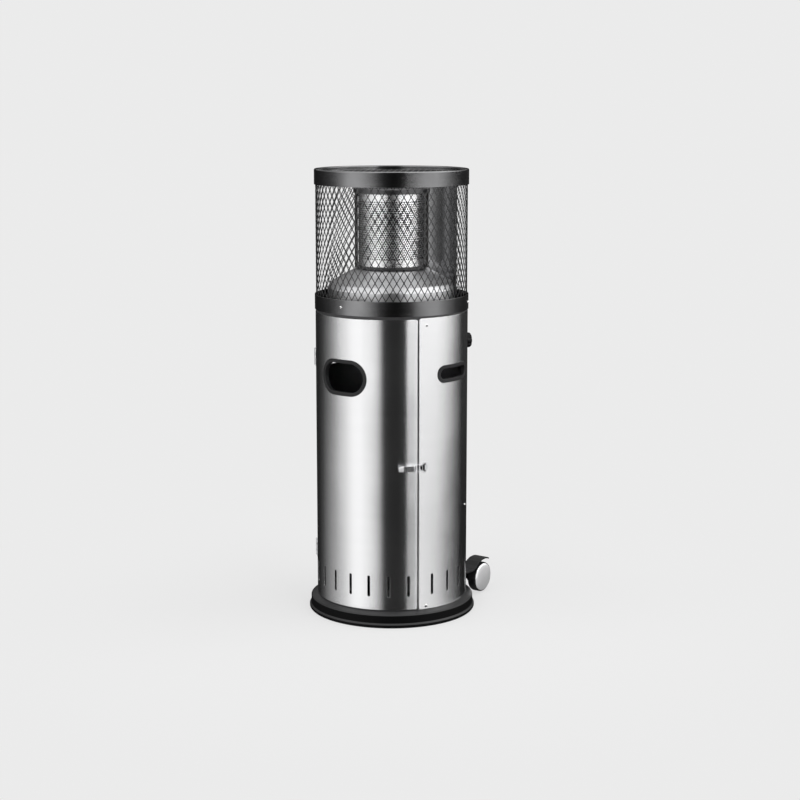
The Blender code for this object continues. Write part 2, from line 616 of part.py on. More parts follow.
side = [(9.0, 6.0), (11.0, 5.0), (11.0, -16.0), (10.9, -25.0), (13.6, -36.2), (12.6, -36.6), (9.8, -25.4), (9.9, -16.0),
        (9.9, 4.0)]
plate = bmesh.new()
half = [7.5, 7.5, 7.5, 8.6, 6.0, 6.0, 8.6, 7.5, 7.5]
lo = [plate.verts.new((x * MM, y * MM, -h * MM)) for (x, y), h in zip(side, half)]
hi = [plate.verts.new((x * MM, y * MM, h * MM)) for (x, y), h in zip(side, half)]
plate.faces.new(lo)
plate.faces.new(hi)
for i in range(len(side)):
    k = (i + 1) % len(side)
    plate.faces.new((lo[i], lo[k], hi[k], hi[i]))
bmesh.ops.recalc_face_normals(plate, faces=plate.faces)
lever = lever_part(plate, "latch_lever", STEEL)
outline = [(10.4, 4.8), (10.4, -14.6), (5.0, -13.6), (4.4, 6.5), (4.9, 11.6), (9.0, 11.6), (9.6, 8.0)]
flanges = gather([prism_bm(outline, min(s * 6.5, s * 7.5), max(s * 6.5, s * 7.5)) for s in (1, -1)])
flanges.transform(L0)
join(lever, flanges, "guide_lever_flanges")
holes = bmesh.new()
rod_bm(1.6, (*LP, -9), (*LP, 9), 10, bm=holes)
rod_bm(1.4, (*LB, -9), (*LB, 9), 8, bm=holes)
holes.transform(L0)
cut(lever, holes, "guide_lever_holes")

# bail: a wire loop from the lever across the seam to the keeper
BAR_PSI, BAR_N = 58.8, 3.9
bar = L0.inverted() @ polar(R_SHELL + BAR_N, BAR_PSI, Z_LATCH) / MM
zb, ze = 9.2, 6.2
route = [(LB[0], LB[1], ze), (LB[0], LB[1], zb - 0.7), (LB[0] - 0.1, LB[1] + 0.8, zb)]
route += [(bar.x + 0.3, bar.y - 2.6, zb), (bar.x, bar.y, zb - 2.6)]
route += [(x, y, -z) for x, y, z in reversed(route)]
cu = bpy.data.curves.new("latch_bail", "CURVE")
cu.dimensions = "3D"
sp = cu.splines.new("POLY")
sp.points.add(len(route) - 1)
for q, p in zip(sp.points, route):
    q.co = ((p[0] - LB[0]) * MM, (p[1] - LB[1]) * MM, p[2] * MM, 1)
cu.bevel_depth, cu.bevel_resolution, cu.use_fill_caps = 1.0 * MM, 2, True
cu.materials.append(ZINC)
bail = bpy.data.objects.new("latch_bail", cu)
bpy.context.scene.collection.objects.link(bail)
bail.matrix_world = L0 @ Matrix.Translation((LB[0] * MM, LB[1] * MM, 0))

LK = on_shell(PSI_KEEPER, Z_LATCH)
shape = [(-11.6, -5.0), (-7.5, -6.5), (-4.0, -14.0), (3.0, -14.0), (8.5, -4.0), (8.5, 4.0), (3.0, 14.0), (-4.0, 14.0),
         (-7.5, 6.5), (-11.6, 5.0)]
kp = prism_bm(shape, 0.4, 1.6, axis="X")
keeper = finish(kp, "latch_keeper", ZINC, LK)
join(keeper, box_bm(1.2, 3.3, -11.6, -10.4, -5.0, 5.0, matrix=LK), "guide_keeper_lip")

# ------------------------------------------------------------------ transport wheels
AX = Matrix.Translation((0, WHEEL_Y * MM, WHEEL_Z * MM))
for side, s in (("right", 1), ("left", -1)):
    flip = AX @ Matrix.Diagonal((s, 1, 1, 1)) @ KR      # profile height runs outward along X
    w0, w1 = WHEEL_X0, WHEEL_X1
    ax = empty("wheel_axis_" + side, AX)
    for name, prof, mat, segs in (
        ("wheel_", [(5.3, w0 + 1.0), (33.0, w0 + 2.5), (37.5, w0), (WHEEL_R, w0 + 3), (WHEEL_R, w1 - 2.5),
                    (38.5, w1), (5.3, w1)], RUBBER, 28),
        ("hub_disc_", [(0, w1 + 0.4), (37.6, w1 + 0.4), (37.6, w1 + 1.6), (30.0, w1 + 3.4), (0, w1 + 4.2)], SILVER, 28),
    ):
        bm = spin(prof, segs, closed=name == "wheel_")
        bm.transform(Matrix.Diagonal((s, 1, 1, 1)) @ KR)
        finish(bm, name + side, mat, parent=ax)
    # stub axle: shank, and a collar behind the bracket
    bm = spin([(0, 99.5), (8.0, 99.5), (8.0, 103.2), (4.9, 103.2), (4.9, w1 - 2.0), (0, w1 - 2.0)], 14, closed=False)
    bm.transform(flip)
    finish(bm, "axle_stub_" + side, ZINC)
    # bracket: inner cheek, forward arm and the hood over the wheel
    cheek = [(232 + 34 * math.cos(a), 43.5 + 34 * math.sin(a)) for a in
             [math.radians(t) for t in (-90, -60, -30, 0, 30, 60)]]
    cheek += [(249.0, 90.5), (240, 94), (224, 95.5), (206, 92.0), (190, 84), (176, 77), (140, 77), (140, 42.5),
              (200, 42.5), (210, 30), (220, 12)]
    xs = sorted((s * 103.6, s * 108.4))
    body = prism_bm(cheek, xs[0], xs[1], axis="X")
    br = finish(body, "wheel_bracket_" + side, PLASTIC)
    hood = [(252.0, 93.8), (244, 97.3), (232, 98.9), (217, 97.9), (203, 93.2), (190, 84.5), (176, 77), (128, 77), (128, 73),
            (178, 73), (192, 80.6), (205, 89.5), (218, 94.2), (232, 95.2), (243, 93.8), (251.0, 90.6)]
    xs = sorted((s * 104.0, s * 144.0))
    join(br, prism_bm(hood, xs[0], xs[1], axis="X"), "guide_hood_" + side)
    cut(br, spin([(0, 20), (R_SHELL + 0.7, 20), (R_SHELL + 0.7, 120), (0, 120)], SEG, closed=False),
        "guide_bracket_fit_" + side)
    hole = rod_bm(5.4, (s * 98, WHEEL_Y, WHEEL_Z), (s * 114, WHEEL_Y, WHEEL_Z), 14)
    cut(br, hole, "guide_axle_hole_" + side)

bpy.context.view_layer.update()
for child, holder in (("latch_bail", lever_pivot), ("lever_pivot", door_pivot)):
    ob = bpy.data.objects[child]
    keep = ob.matrix_world.copy()
    ob.parent = holder
    ob.matrix_parent_inverse = holder.matrix_world.inverted()
    ob.matrix_world = keep
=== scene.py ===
"""Looks of the outdoor gas heater: fine sheet metal, meshes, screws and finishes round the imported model."""

import math

import bmesh
import bpy
import numpy as np
from mathutils import Matrix, Vector
from mathutils.geometry import delaunay_2d_cdt


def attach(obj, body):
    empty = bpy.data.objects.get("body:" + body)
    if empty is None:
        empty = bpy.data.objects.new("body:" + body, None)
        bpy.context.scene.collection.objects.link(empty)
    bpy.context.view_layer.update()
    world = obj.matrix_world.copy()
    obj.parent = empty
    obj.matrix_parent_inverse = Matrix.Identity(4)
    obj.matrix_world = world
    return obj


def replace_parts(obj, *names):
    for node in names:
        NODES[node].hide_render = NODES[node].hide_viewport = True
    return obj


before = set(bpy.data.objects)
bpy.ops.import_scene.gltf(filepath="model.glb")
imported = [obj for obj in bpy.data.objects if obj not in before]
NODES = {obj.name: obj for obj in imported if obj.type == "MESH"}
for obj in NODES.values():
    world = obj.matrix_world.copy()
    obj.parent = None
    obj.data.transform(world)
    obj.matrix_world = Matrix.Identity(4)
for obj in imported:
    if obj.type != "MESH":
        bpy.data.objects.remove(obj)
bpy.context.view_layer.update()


MM = 0.001
SEG = 288

# ------------------------------------------------------------------ sizes (mm, deg), as in the model
R = 196.0
PSI_LATCH, PSI_HINGE, SEAM = 55.9, -64.0, 0.45
HANDLE = (90.5, 642.0, 108.0, 26.0)
DOORWIN = (-4.0, 634.0, 127.0, 73.0)
DOOR_VENTS = [-4.0 + 15.0 * (i - 3.5) for i in range(8)]
REAR_VENTS = [67.5 + 15.0 * i for i in range(16)]
VENT_W, VENT_Z0, VENT_Z1 = 7.0, 76.0, 131.0
PSI_KNOB, Z_KNOB = 142.0, 700.0
R_HINGE, HINGE_Z = 200.8, (149.0, 660.0)
PSI_L0, Z_LATCH, PSI_KEEPER = 50.5, 410.0, 61.0
WHEEL_Y, WHEEL_Z, WHEEL_R, W0, W1 = 232.0, 43.5, 40.0, 112.5, 136.6


def sincos(psi):
    a = math.radians(psi)
    return math.sin(a), math.cos(a)


def polar(r, psi, z):
    s, c = sincos(psi)
    return Vector((r * s, -r * c, z)) * MM


def on_shell(psi, z, r=R):
    """Local x outward, y along growing psi, z up, at a point of the cabinet's skin."""
    s, c = sincos(psi)
    return Matrix(((s, c, 0, r * s * MM), (-c, s, 0, -r * c * MM), (0, 0, 1, z * MM), (0, 0, 0, 1)))


OUTWARD = Matrix.Rotation(math.pi / 2, 4, "Y")      # a turned profile's height becomes local x


# ================================================================== materials
class Mat:
    """A Principled material and short ways to drive it with procedural nodes."""

    def __init__(self, name, rgb, rough, metal=0.0, **const):
        self.m = bpy.data.materials.new(name)
        self.m.use_nodes = True
        self.nt = self.m.node_tree
        self.b = self.nt.nodes["Principled BSDF"]
        self.rgb, self.rough = rgb, rough
        self.b.inputs["Base Color"].default_value = (*rgb, 1)
        self.b.inputs["Roughness"].default_value = rough
        self.b.inputs["Metallic"].default_value = metal
        for key, value in const.items():
            self.b.inputs[key.replace("_", " ")].default_value = value
        self.co = self.nt.nodes.new("ShaderNodeTexCoord").outputs["Object"]

    def node(self, kind, **settings):
        n = self.nt.nodes.new(kind)
        for k, v in settings.items():
            setattr(n, k, v)
        return n

    def link(self, a, b):
        self.nt.links.new(a, b)

    def noise(self, scale=(1, 1, 1), size=1.0, detail=3.0, rough=0.5, vec=None):
        mp = self.node("ShaderNodeMapping")
        mp.inputs["Scale"].default_value = scale
        self.link(vec or self.co, mp.inputs["Vector"])
        n = self.node("ShaderNodeTexNoise")
        n.inputs["Scale"].default_value = size
        n.inputs["Detail"].default_value = detail
        n.inputs["Roughness"].default_value = rough
        self.link(mp.outputs["Vector"], n.inputs["Vector"])
        return n.outputs["Fac"]

    def voronoi(self, size, feature="F1", scale=(1, 1, 1), out="Distance"):
        mp = self.node("ShaderNodeMapping")
        mp.inputs["Scale"].default_value = scale
        self.link(self.co, mp.inputs["Vector"])
        n = self.node("ShaderNodeTexVoronoi", feature=feature)
        n.inputs["Scale"].default_value = size
        self.link(mp.outputs["Vector"], n.inputs["Vector"])
        return n.outputs[out]

    def span(self, fac, lo, hi, f0=0.3, f1=0.7, smooth=False):
        n = self.node("ShaderNodeMapRange")
        n.interpolation_type = "SMOOTHSTEP" if smooth else "LINEAR"
        n.inputs["From Min"].default_value, n.inputs["From Max"].default_value = f0, f1
        n.inputs["To Min"].default_value, n.inputs["To Max"].default_value = lo, hi
        self.link(fac, n.inputs["Value"])
        return n.outputs["Result"]

    def math(self, op, a, b=None):
        n = self.node("ShaderNodeMath", operation=op)
        for i, v in enumerate((a, b)):
            if v is None:
                continue
            if isinstance(v, (int, float)):
                n.inputs[i].default_value = v
            else:
                self.link(v, n.inputs[i])
        return n.outputs["Value"]

    def mix(self, fac, a, b):
        n = self.node("ShaderNodeMix", data_type="RGBA")
        self.link(fac, n.inputs["Factor"])
        for sock, v in ((n.inputs["A"], a), (n.inputs["B"], b)):
            if isinstance(v, tuple):
                sock.default_value = (*v, 1)
            else:
                self.link(v, sock)
        return n.outputs["Result"]

    def colour(self, sock):
        self.link(sock, self.b.inputs["Base Color"])
        return self

    def roughness(self, sock):
        self.link(sock, self.b.inputs["Roughness"])
        return self

    def bump(self, height, strength, distance, below=None):
        n = self.node("ShaderNodeBump")
        n.inputs["Strength"].default_value = strength
        n.inputs["Distance"].default_value = distance
        self.link(height, n.inputs["Height"])
        if below is not None:
            self.link(below, n.inputs["Normal"])
        self.link(n.outputs["Normal"], self.b.inputs["Normal"])
        return n.outputs["Normal"]

    def around(self, rotation=0.25):
        """Brushed round the cabinet's axis."""
        t = self.node("ShaderNodeTangent", direction_type="RADIAL", axis="Z")
        self.link(t.outputs["Tangent"], self.b.inputs["Tangent"])
        self.b.inputs["Anisotropic Rotation"].default_value = rotation


def shade(rgb, k):
    return tuple(min(1.0, c * k) for c in rgb)


def brushed(name, rgb, rough, aniso, streak=1.0, fine=900.0, dirt=0.0):
    """Sheet brushed round the body: fine lines that run level, worn a little unevenly."""
    m = Mat(name, rgb, rough, 1.0, Anisotropic=aniso)
    lines = m.noise((5, 5, fine), 1.0, 2.0, 0.6)
    broad = m.noise((2.2, 2.2, 60), 1.0, 3.0, 0.55)
    cloud = m.noise((7, 7, 5), 1.0, 4.0, 0.55)
    both = m.math("ADD", m.math("MULTIPLY", lines, 0.6), m.math("MULTIPLY", broad, 0.4))
    tone = m.mix(m.span(both, 0, 1, 0.36, 0.64), shade(rgb, 1 - 0.05 * streak), shade(rgb, 1 + 0.04 * streak))
    if dirt:
        tone = m.mix(m.span(cloud, 0, dirt, 0.5, 0.8), tone, shade(rgb, 0.75))
    m.colour(tone)
    r = m.math("ADD", m.span(lines, -0.035 * streak, 0.035 * streak), m.span(cloud, rough - 0.015, rough + 0.02))
    m.roughness(r)
    m.bump(lines, 0.035 * streak, 0.0004)
    m.around()
    return m.m


def satin_metal(name, rgb, rough, scratch=1.0, size=1.0):
    m = Mat(name, rgb, rough, 1.0)
    grain = m.noise((1, 1, 1), 900 * size, 3.0, 0.6)
    cloud = m.noise((1, 1, 1), 30 * size, 4.0, 0.6)
    m.colour(m.mix(m.span(cloud, 0, 1), shade(rgb, 0.9), shade(rgb, 1.06)))
    m.roughness(m.math("ADD", m.span(grain, -0.03, 0.03), m.span(cloud, rough - 0.03, rough + 0.05)))
    m.bump(grain, 0.05 * scratch, 0.0004)
    return m.m


def coated(name, rgb, rough, metal, lines=0.0, peel=1.0, **const):
    """Black coating on steel: a faint orange peel, and fine level lines where it's rolled sheet."""
    m = Mat(name, rgb, rough, metal, **const)
    grain = m.noise((1, 1, 1), 1400, 2.0, 0.5)
    peelt = m.noise((1, 1, 1), 320, 2.0, 0.5)
    cloud = m.noise((1, 1, 1), 14, 3.0, 0.5)
    m.colour(m.mix(m.span(cloud, 0, 1), shade(rgb, 0.88), shade(rgb, 1.1)))
    rr = m.math("ADD", m.span(grain, -0.025, 0.025), m.span(cloud, rough - 0.02, rough + 0.025))
    height = m.math("ADD", m.math("MULTIPLY", peelt, 0.7 * peel), m.math("MULTIPLY", grain, 0.3 * peel))
    if lines:
        run = m.noise((5, 5, 800), 1.0, 2.0, 0.6)
        rr = m.math("ADD", rr, m.span(run, -0.06 * lines, 0.06 * lines))
        height = m.math("ADD", height, m.math("MULTIPLY", run, lines))
    m.roughness(rr)
    m.bump(height, 0.06, 0.0003)
    return m.m


def moulded(name, rgb, rough, grain_size=1500, depth=0.12, **const):
    """Moulded plastic with a fine spark-eroded grain."""
    m = Mat(name, rgb, rough, 0.0, **const)
    cell = m.voronoi(grain_size)
    cloud = m.noise((1, 1, 1), 25, 3.0, 0.5)
    m.colour(m.mix(m.span(cloud, 0, 1), shade(rgb, 0.85), shade(rgb, 1.15)))
    m.roughness(m.math("ADD", m.span(cell, -0.04, 0.05, 0, 0.9), m.span(cloud, rough - 0.02, rough + 0.03)))
    m.bump(cell, depth, 0.0002)
    return m.m


SHELL = brushed("stainless_shell", (0.67, 0.67, 0.675), 0.2, 0.97, 0.3)
# the sheets' inner faces, steel darkened far below the stainless outside: painted shade, so the cabinet's inside reads
# black
INNER_PAINTED_SHADE = satin_metal("sheet_inside_painted_shade", (0.16, 0.16, 0.165), 0.5)
BURNER = brushed("stainless_burner", (0.60, 0.60, 0.61), 0.34, 0.35, 1.2, 500, 0.35)
# stainless of the emitter screen, its tone raised near white above the other stainless: painted light
EMITTER_PAINTED_LIGHT = brushed("stainless_emitter_painted_light", (0.96, 0.96, 0.965), 0.27, 0.0, 0.4, 600, 0.08)
POLISHED = satin_metal("polished_steel", (0.35, 0.35, 0.355), 0.12, 0.4, 0.6)
FITTING = satin_metal("stainless_fitting", (0.66, 0.66, 0.67), 0.24, 0.8, 1.4)
ZINC = satin_metal("zinc_steel", (0.56, 0.57, 0.59), 0.33, 1.0, 1.6)
BRASS = satin_metal("brass", (0.72, 0.53, 0.25), 0.3, 0.8, 1.2)
IRON = coated("burner_iron", (0.05, 0.048, 0.047), 0.62, 0.7, 0.0, 3.0)
GLOSS = moulded("glossy_black", (0.004, 0.004, 0.0042), 0.2, 1800, 0.02, Specular_IOR_Level=0.12)
DARK = satin_metal("dark_rivet", (0.1, 0.1, 0.1), 0.4)
BRIGHT = satin_metal("bright_screw", (0.8, 0.8, 0.8), 0.25, 0.6)
# sooted black steel of the emitter posts; the same near-black also fills the screw heads' recesses as painted shade
SOOT_AND_RECESS_SHADE = coated("sooted_steel_and_recess_shade", (0.03, 0.029, 0.028), 0.6, 0.5, 0.0, 2.0)
BAND = coated("black_band", (0.2, 0.2, 0.203), 0.15, 1.0, 0.5, 0.5)
BASE = coated("black_base", (0.012, 0.012, 0.0124), 0.34, 0.0, 0.0, 1.0, Specular_IOR_Level=0.36)
# near-black, dull copy of the base coating: painted shade, put on the base's upright walls, the emitter's hole walls
# and inside, and the keeper's mouth
PAINTED_SHADE_BLACK = coated("painted_shade_black", (0.002, 0.002, 0.0021), 0.5, 0.0, 0.0, 1.0, Specular_IOR_Level=0.05)
ENAMEL = coated("black_enamel", (0.02, 0.02, 0.021), 0.42, 0.0, 0.0, 1.2)
MESH = coated("black_mesh", (0.06, 0.06, 0.061), 0.3, 0.85, 0.0, 1.0)
CAP = coated("cap_enamel", (0.12, 0.12, 0.122), 0.3, 0.9, 0.0, 1.0)
# the door jambs' steel, darkened: painted shade, so the seam reads dark
JAMB_PAINTED_SHADE = satin_metal("jamb_steel_painted_shade", (0.09, 0.09, 0.093), 0.45)
TRIM = moulded("trim_plastic", (0.013, 0.013, 0.0135), 0.42, 1500, 0.1, Specular_IOR_Level=0.2)
PLASTIC = moulded("black_plastic", (0.012, 0.012, 0.013), 0.33, 1800, 0.06)
HOOD = moulded("bracket_plastic", (0.008, 0.008, 0.0085), 0.36, 1500, 0.08, Specular_IOR_Level=0.22)
TYRE = moulded("black_tyre", (0.007, 0.007, 0.0073), 0.5, 900, 0.15, Specular_IOR_Level=0.25)
CERAMIC = moulded("ceramic", (0.82, 0.8, 0.75), 0.22, 300, 0.03)


def silver_disc():
    m = Mat("silver_disc", (0.78, 0.78, 0.785), 0.34, 0.75)
    cloud = m.noise((1, 1, 1), 60, 3.0, 0.5)
    f = m.math("ADD", m.math("MULTIPLY", m.noise((1, 1, 1), 2200, 1.0, 0.5), 0.6), m.math("MULTIPLY", cloud, 0.4))
    m.colour(m.mix(m.span(f, 0, 1), (0.755, 0.755, 0.76), (0.79, 0.79, 0.795)))
    m.roughness(m.span(cloud, 0.32, 0.36))
    return m.m


SILVER = silver_disc()


# ================================================================== mesh helpers
def make(name, verts, faces, mats, body, slot=None, index=None, sharp=32.0, weighted=True, matrix=None):
    """A mesh in metres in the model's frame, riding on a body."""
    me = bpy.data.meshes.new(name)
    me.from_pydata([tuple(v) for v in verts], [], [tuple(f) for f in faces])
    if matrix is not None:
        me.transform(matrix)
    bm = bmesh.new()
    bm.from_mesh(me)
    bmesh.ops.recalc_face_normals(bm, faces=bm.faces)
    if bm.calc_volume(signed=True) < 0:
        bmesh.ops.reverse_faces(bm, faces=bm.faces)
    bm.to_mesh(me)
    bm.free()
    for m in mats if isinstance(mats, (list, tuple)) else [mats]:
        me.materials.append(m)
    if index is not None:
        me.polygons.foreach_set("material_index", index)
    me.shade_smooth()
    me.set_sharp_from_angle(angle=math.radians(sharp))
    ob = bpy.data.objects.new(name, me)
    bpy.context.scene.collection.objects.link(ob)
    if weighted:
        w = ob.modifiers.new("normals", "WEIGHTED_NORMAL")
        w.keep_sharp = True
        w.weight = 60
    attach(ob, body)
    return ob


def from_bm(name, bm, mats, body, slot=None, **kw):
    bm.verts.ensure_lookup_table()
    verts = [v.co.copy() for v in bm.verts]
    faces = [[v.index for v in f.verts] for f in bm.faces]
    bm.free()
    return make(name, verts, faces, mats, body, slot, **kw)


def fillet(points, radii, n=4, closed=True):
    """Rounds corners of a polygon: radii is one number, or {index: radius}."""
    out, count = [], len(points)
    for i, p in enumerate(points):
        r = radii if isinstance(radii, (int, float)) else radii.get(i, 0.0)
        if r <= 0 or (not closed and i in (0, count - 1)):
            out.append(p)
            continue
        a, b, c = Vector(points[i - 1]), Vector(p), Vector(points[(i + 1) % count])
        u, v = (a - b), (c - b)
        lu, lv = u.length, v.length
        u, v = u / lu, v / lv
        half = 0.5 * math.acos(max(-1.0, min(1.0, u.dot(v))))
        if half > math.radians(89):
            out.append(p)
            continue
        d = min(r / math.tan(half), 0.48 * lu, 0.48 * lv)
        rr = d * math.tan(half)
        mid = (u + v).normalized()
        cen = b + mid * (rr / math.sin(half))
        s, e = b + u * d - cen, b + v * d - cen
        a0, a1 = math.atan2(s.y, s.x), math.atan2(e.y, e.x)
        da = (a1 - a0 + math.pi) % (2 * math.pi) - math.pi
        for k in range(n + 1):
            t = a0 + da * k / n
            out.append((cen.x + rr * math.cos(t), cen.y + rr * math.sin(t)))
    return out


def lathe_data(profile, segs=SEG, a0=0.0, a1=360.0, closed=True):
    """Turned profile of (radius, height) in mm; points on the axis are shared."""
    full = abs(a1 - a0 - 360.0) < 1e-6
    steps = segs if full else segs + 1
    verts, rings = [], []
    axis = {}
    for i in range(steps):
        s, c = sincos(a0 + (a1 - a0) * i / segs)
        ring = []
        for k, (r, z) in enumerate(profile):
            if r < 1e-6:
                if k not in axis:
                    axis[k] = len(verts)
                    verts.append((0, 0, z * MM))
                ring.append(axis[k])
            else:
                ring.append(len(verts))
                verts.append((r * s * MM, -r * c * MM, z * MM))
        rings.append(ring)
    faces = []
    n = len(profile)
    pairs = [(k, (k + 1) % n) for k in range(n if closed else n - 1)]
    for i in range(segs):
        a, b = rings[i], rings[(i + 1) % steps]
        for k, l in pairs:
            f = []
            for v in (a[k], b[k], b[l], a[l]):
                if v not in f:
                    f.append(v)
            if len(f) > 2:
                faces.append(f)
    if not full:
        faces.append(rings[0])
        faces.append(rings[-1][::-1])
    return verts, faces


def lathe(name, profile, mats, body, slot=None, segs=SEG, a0=0.0, a1=360.0, closed=True, matrix=None, **kw):
    verts, faces = lathe_data(profile, segs, a0, a1, closed)
    return make(name, verts, faces, mats, body, slot, matrix=matrix, **kw)


def joined(name, parts, mats, body, slot=None, **kw):
    """Several closed shapes that touch, as one piece."""
    verts, faces, index = [], [], []
    for k, part in enumerate(parts):
        v, f = part[0], part[1]
        m = part[2] if len(part) > 2 else 0
        base = len(verts)
        verts += list(v)
        faces += [[base + i for i in q] for q in f]
        index += [m] * len(f)
    return make(name, verts, faces, mats, body, slot, index=index, **kw)


def moved(data, matrix):
    return [matrix @ Vector(v) for v in data[0]], data[1]


def obround(w, h, straight, round_):
    """Closed path of an obround w x h with outward normals: (x, y, nx, ny)."""
    r, half = h / 2, w / 2 - h / 2
    path = []
    for i in range(straight):
        path.append((-half + 2 * half * i / straight, -r, 0.0, -1.0))
    for i in range(round_):
        a = -math.pi / 2 + math.pi * i / round_
        path.append((half + r * math.cos(a), r * math.sin(a), math.cos(a), math.sin(a)))
    for i in range(straight):
        path.append((half - 2 * half * i / straight, r, 0.0, 1.0))
    for i in range(round_):
        a = math.pi / 2 + math.pi * i / round_
        path.append((-half + r * math.cos(a), r * math.sin(a), math.cos(a), math.sin(a)))
    return path


def sweep_loop(path, section, place):
    """A closed section of (offset, height) along a closed path; place(x, y, n) gives the point."""
    verts, faces = [], []
    k = len(section)
    for x, y, nx, ny in path:
        for d, n in section:
            verts.append(place(x + d * nx, y + d * ny, n))
    m = len(path)
    for i in range(m):
        for j in range(k):
            a, b = i * k + j, i * k + (j + 1) % k
            c, d = ((i + 1) % m) * k + (j + 1) % k, ((i + 1) % m) * k + j
            faces.append([a, b, c, d])
    return verts, faces


def tube(points, r, segs=12, caps=True, cyclic=False):
    """Round wire along points in metres; r in metres."""
    pts = [Vector(p) for p in points]
    n = len(pts)
    verts, faces = [], []
    side = None
    for i, p in enumerate(pts):
        a = pts[i - 1] if (i > 0 or cyclic) else p
        b = pts[(i + 1) % n] if (i < n - 1 or cyclic) else p
        t = (b - a).normalized()
        if side is None:
            side = t.orthogonal().normalized()
        side = (side - t * side.dot(t)).normalized()
        up = t.cross(side)
        for k in range(segs):
            ang = 2 * math.pi * k / segs
            verts.append(p + (side * math.cos(ang) + up * math.sin(ang)) * r)
    for i in range(n if cyclic else n - 1):
        j = (i + 1) % n
        for k in range(segs):
            l = (k + 1) % segs
            faces.append([i * segs + k, i * segs + l, j * segs + l, j * segs + k])
    if caps and not cyclic:
        faces.append(list(range(segs))[::-1])
        faces.append([(n - 1) * segs + k for k in range(segs)])
    return verts, faces


def smooth_path(points, step=0.0015):
    """Catmull-Rom through points in metres."""
    pts = [Vector(p) for p in points]
    out = []
    n = len(pts)
    for i in range(n - 1):
        p0, p1, p2, p3 = pts[max(i - 1, 0)], pts[i], pts[i + 1], pts[min(i + 2, n - 1)]
        m = max(2, int((p2 - p1).length / step))
        for k in range(m):
            t = k / m
            out.append(0.5 * ((2 * p1) + (p2 - p0) * t + (2 * p0 - 5 * p1 + 4 * p2 - p3) * t * t
                              + (3 * p1 - p0 - 3 * p2 + p3) * t ** 3))
    out.append(pts[-1])
    return out


def prism(points, h0, h1, round_=0.0, axis="Z", steps=3):
    """A polygon (x, y) in mm between two heights, with its rims rounded. Axis X: points are (y, z)."""
    n = len(points)
    area = sum(points[i][0] * points[(i + 1) % n][1] - points[(i + 1) % n][0] * points[i][1] for i in range(n))
    if area < 0:
        points = points[::-1]
    normals = []
    for i in range(n):
        a, b, c = Vector(points[i - 1]), Vector(points[i]), Vector(points[(i + 1) % n])
        e0, e1 = (b - a).normalized(), (c - b).normalized()
        n0, n1 = Vector((e0.y, -e0.x)), Vector((e1.y, -e1.x))
        nn = (n0 + n1)
        nn = nn / max(0.35, nn.length_squared / 2) if nn.length > 1e-6 else n0
        normals.append(nn)
    rows = []
    if round_ > 0:
        for k in range(steps + 1):
            a = math.pi / 2 * k / steps
            rows.append((-round_ * (1 - math.sin(a)), h0 + round_ * (1 - math.cos(a))))
        for k in range(steps + 1):
            a = math.pi / 2 * (1 - k / steps)
            rows.append((-round_ * (1 - math.sin(a)), h1 - round_ * (1 - math.cos(a))))
    else:
        rows = [(0, h0), (0, h1)]
    verts, faces = [], []
    for off, h in rows:
        for p, nn in zip(points, normals):
            x, y = p[0] + nn[0] * off, p[1] + nn[1] * off
            verts.append((x * MM, y * MM, h * MM) if axis == "Z" else (h * MM, x * MM, y * MM))
    for r in range(len(rows) - 1):
        for i in range(n):
            j = (i + 1) % n
            faces.append([r * n + i, r * n + j, (r + 1) * n + j, (r + 1) * n + i])
    faces.append(list(range(n))[::-1])
    faces.append([(len(rows) - 1) * n + i for i in range(n)])
    return verts, faces


# ================================================================== curved sheets with holes
def seg_dist(x, y, half, vertical=False):
    u, v = (y, x) if vertical else (x, y)
    return math.hypot(max(abs(u) - half, 0.0), v)


class Hole:
    """An obround (or round) opening, centre in sheet coordinates, mm."""

    def __init__(self, s, z, w, h, roll=0.3, fine=1.0):
        self.s, self.z, self.w, self.h, self.roll = s, z, w, h, roll
        self.r = min(w, h) / 2
        self.half = max(w, h) / 2 - self.r
        self.vertical = h > w
        self.n = max(6, int(8 * fine))

    def dist(self, s, z):
        return seg_dist(s - self.s, z - self.z, self.half, self.vertical) - self.r

    def loop(self, d):
        r, pts = self.r + d, []
        straight = max(1, int(self.half * 2 / 8.0)) if not self.vertical else max(1, int(self.half * 2 / 20.0))
        for i in range(straight):
            pts.append((-self.half + 2 * self.half * i / straight, -r))
        for i in range(self.n):
            a = -math.pi / 2 + math.pi * i / self.n
            pts.append((self.half + r * math.cos(a), r * math.sin(a)))
        for i in range(straight):
            pts.append((self.half - 2 * self.half * i / straight, r))
        for i in range(self.n):
            a = math.pi / 2 + math.pi * i / self.n
            pts.append((-self.half + r * math.cos(a), r * math.sin(a)))
        if self.half < 1e-6:
            pts = [(r * math.cos(2 * math.pi * i / (2 * self.n)), r * math.sin(2 * math.pi * i / (2 * self.n)))
                   for i in range(2 * self.n)]
        if self.vertical:
            pts = [(-y, x) for x, y in pts]
        return [(self.s + x, self.z + y) for x, y in pts]


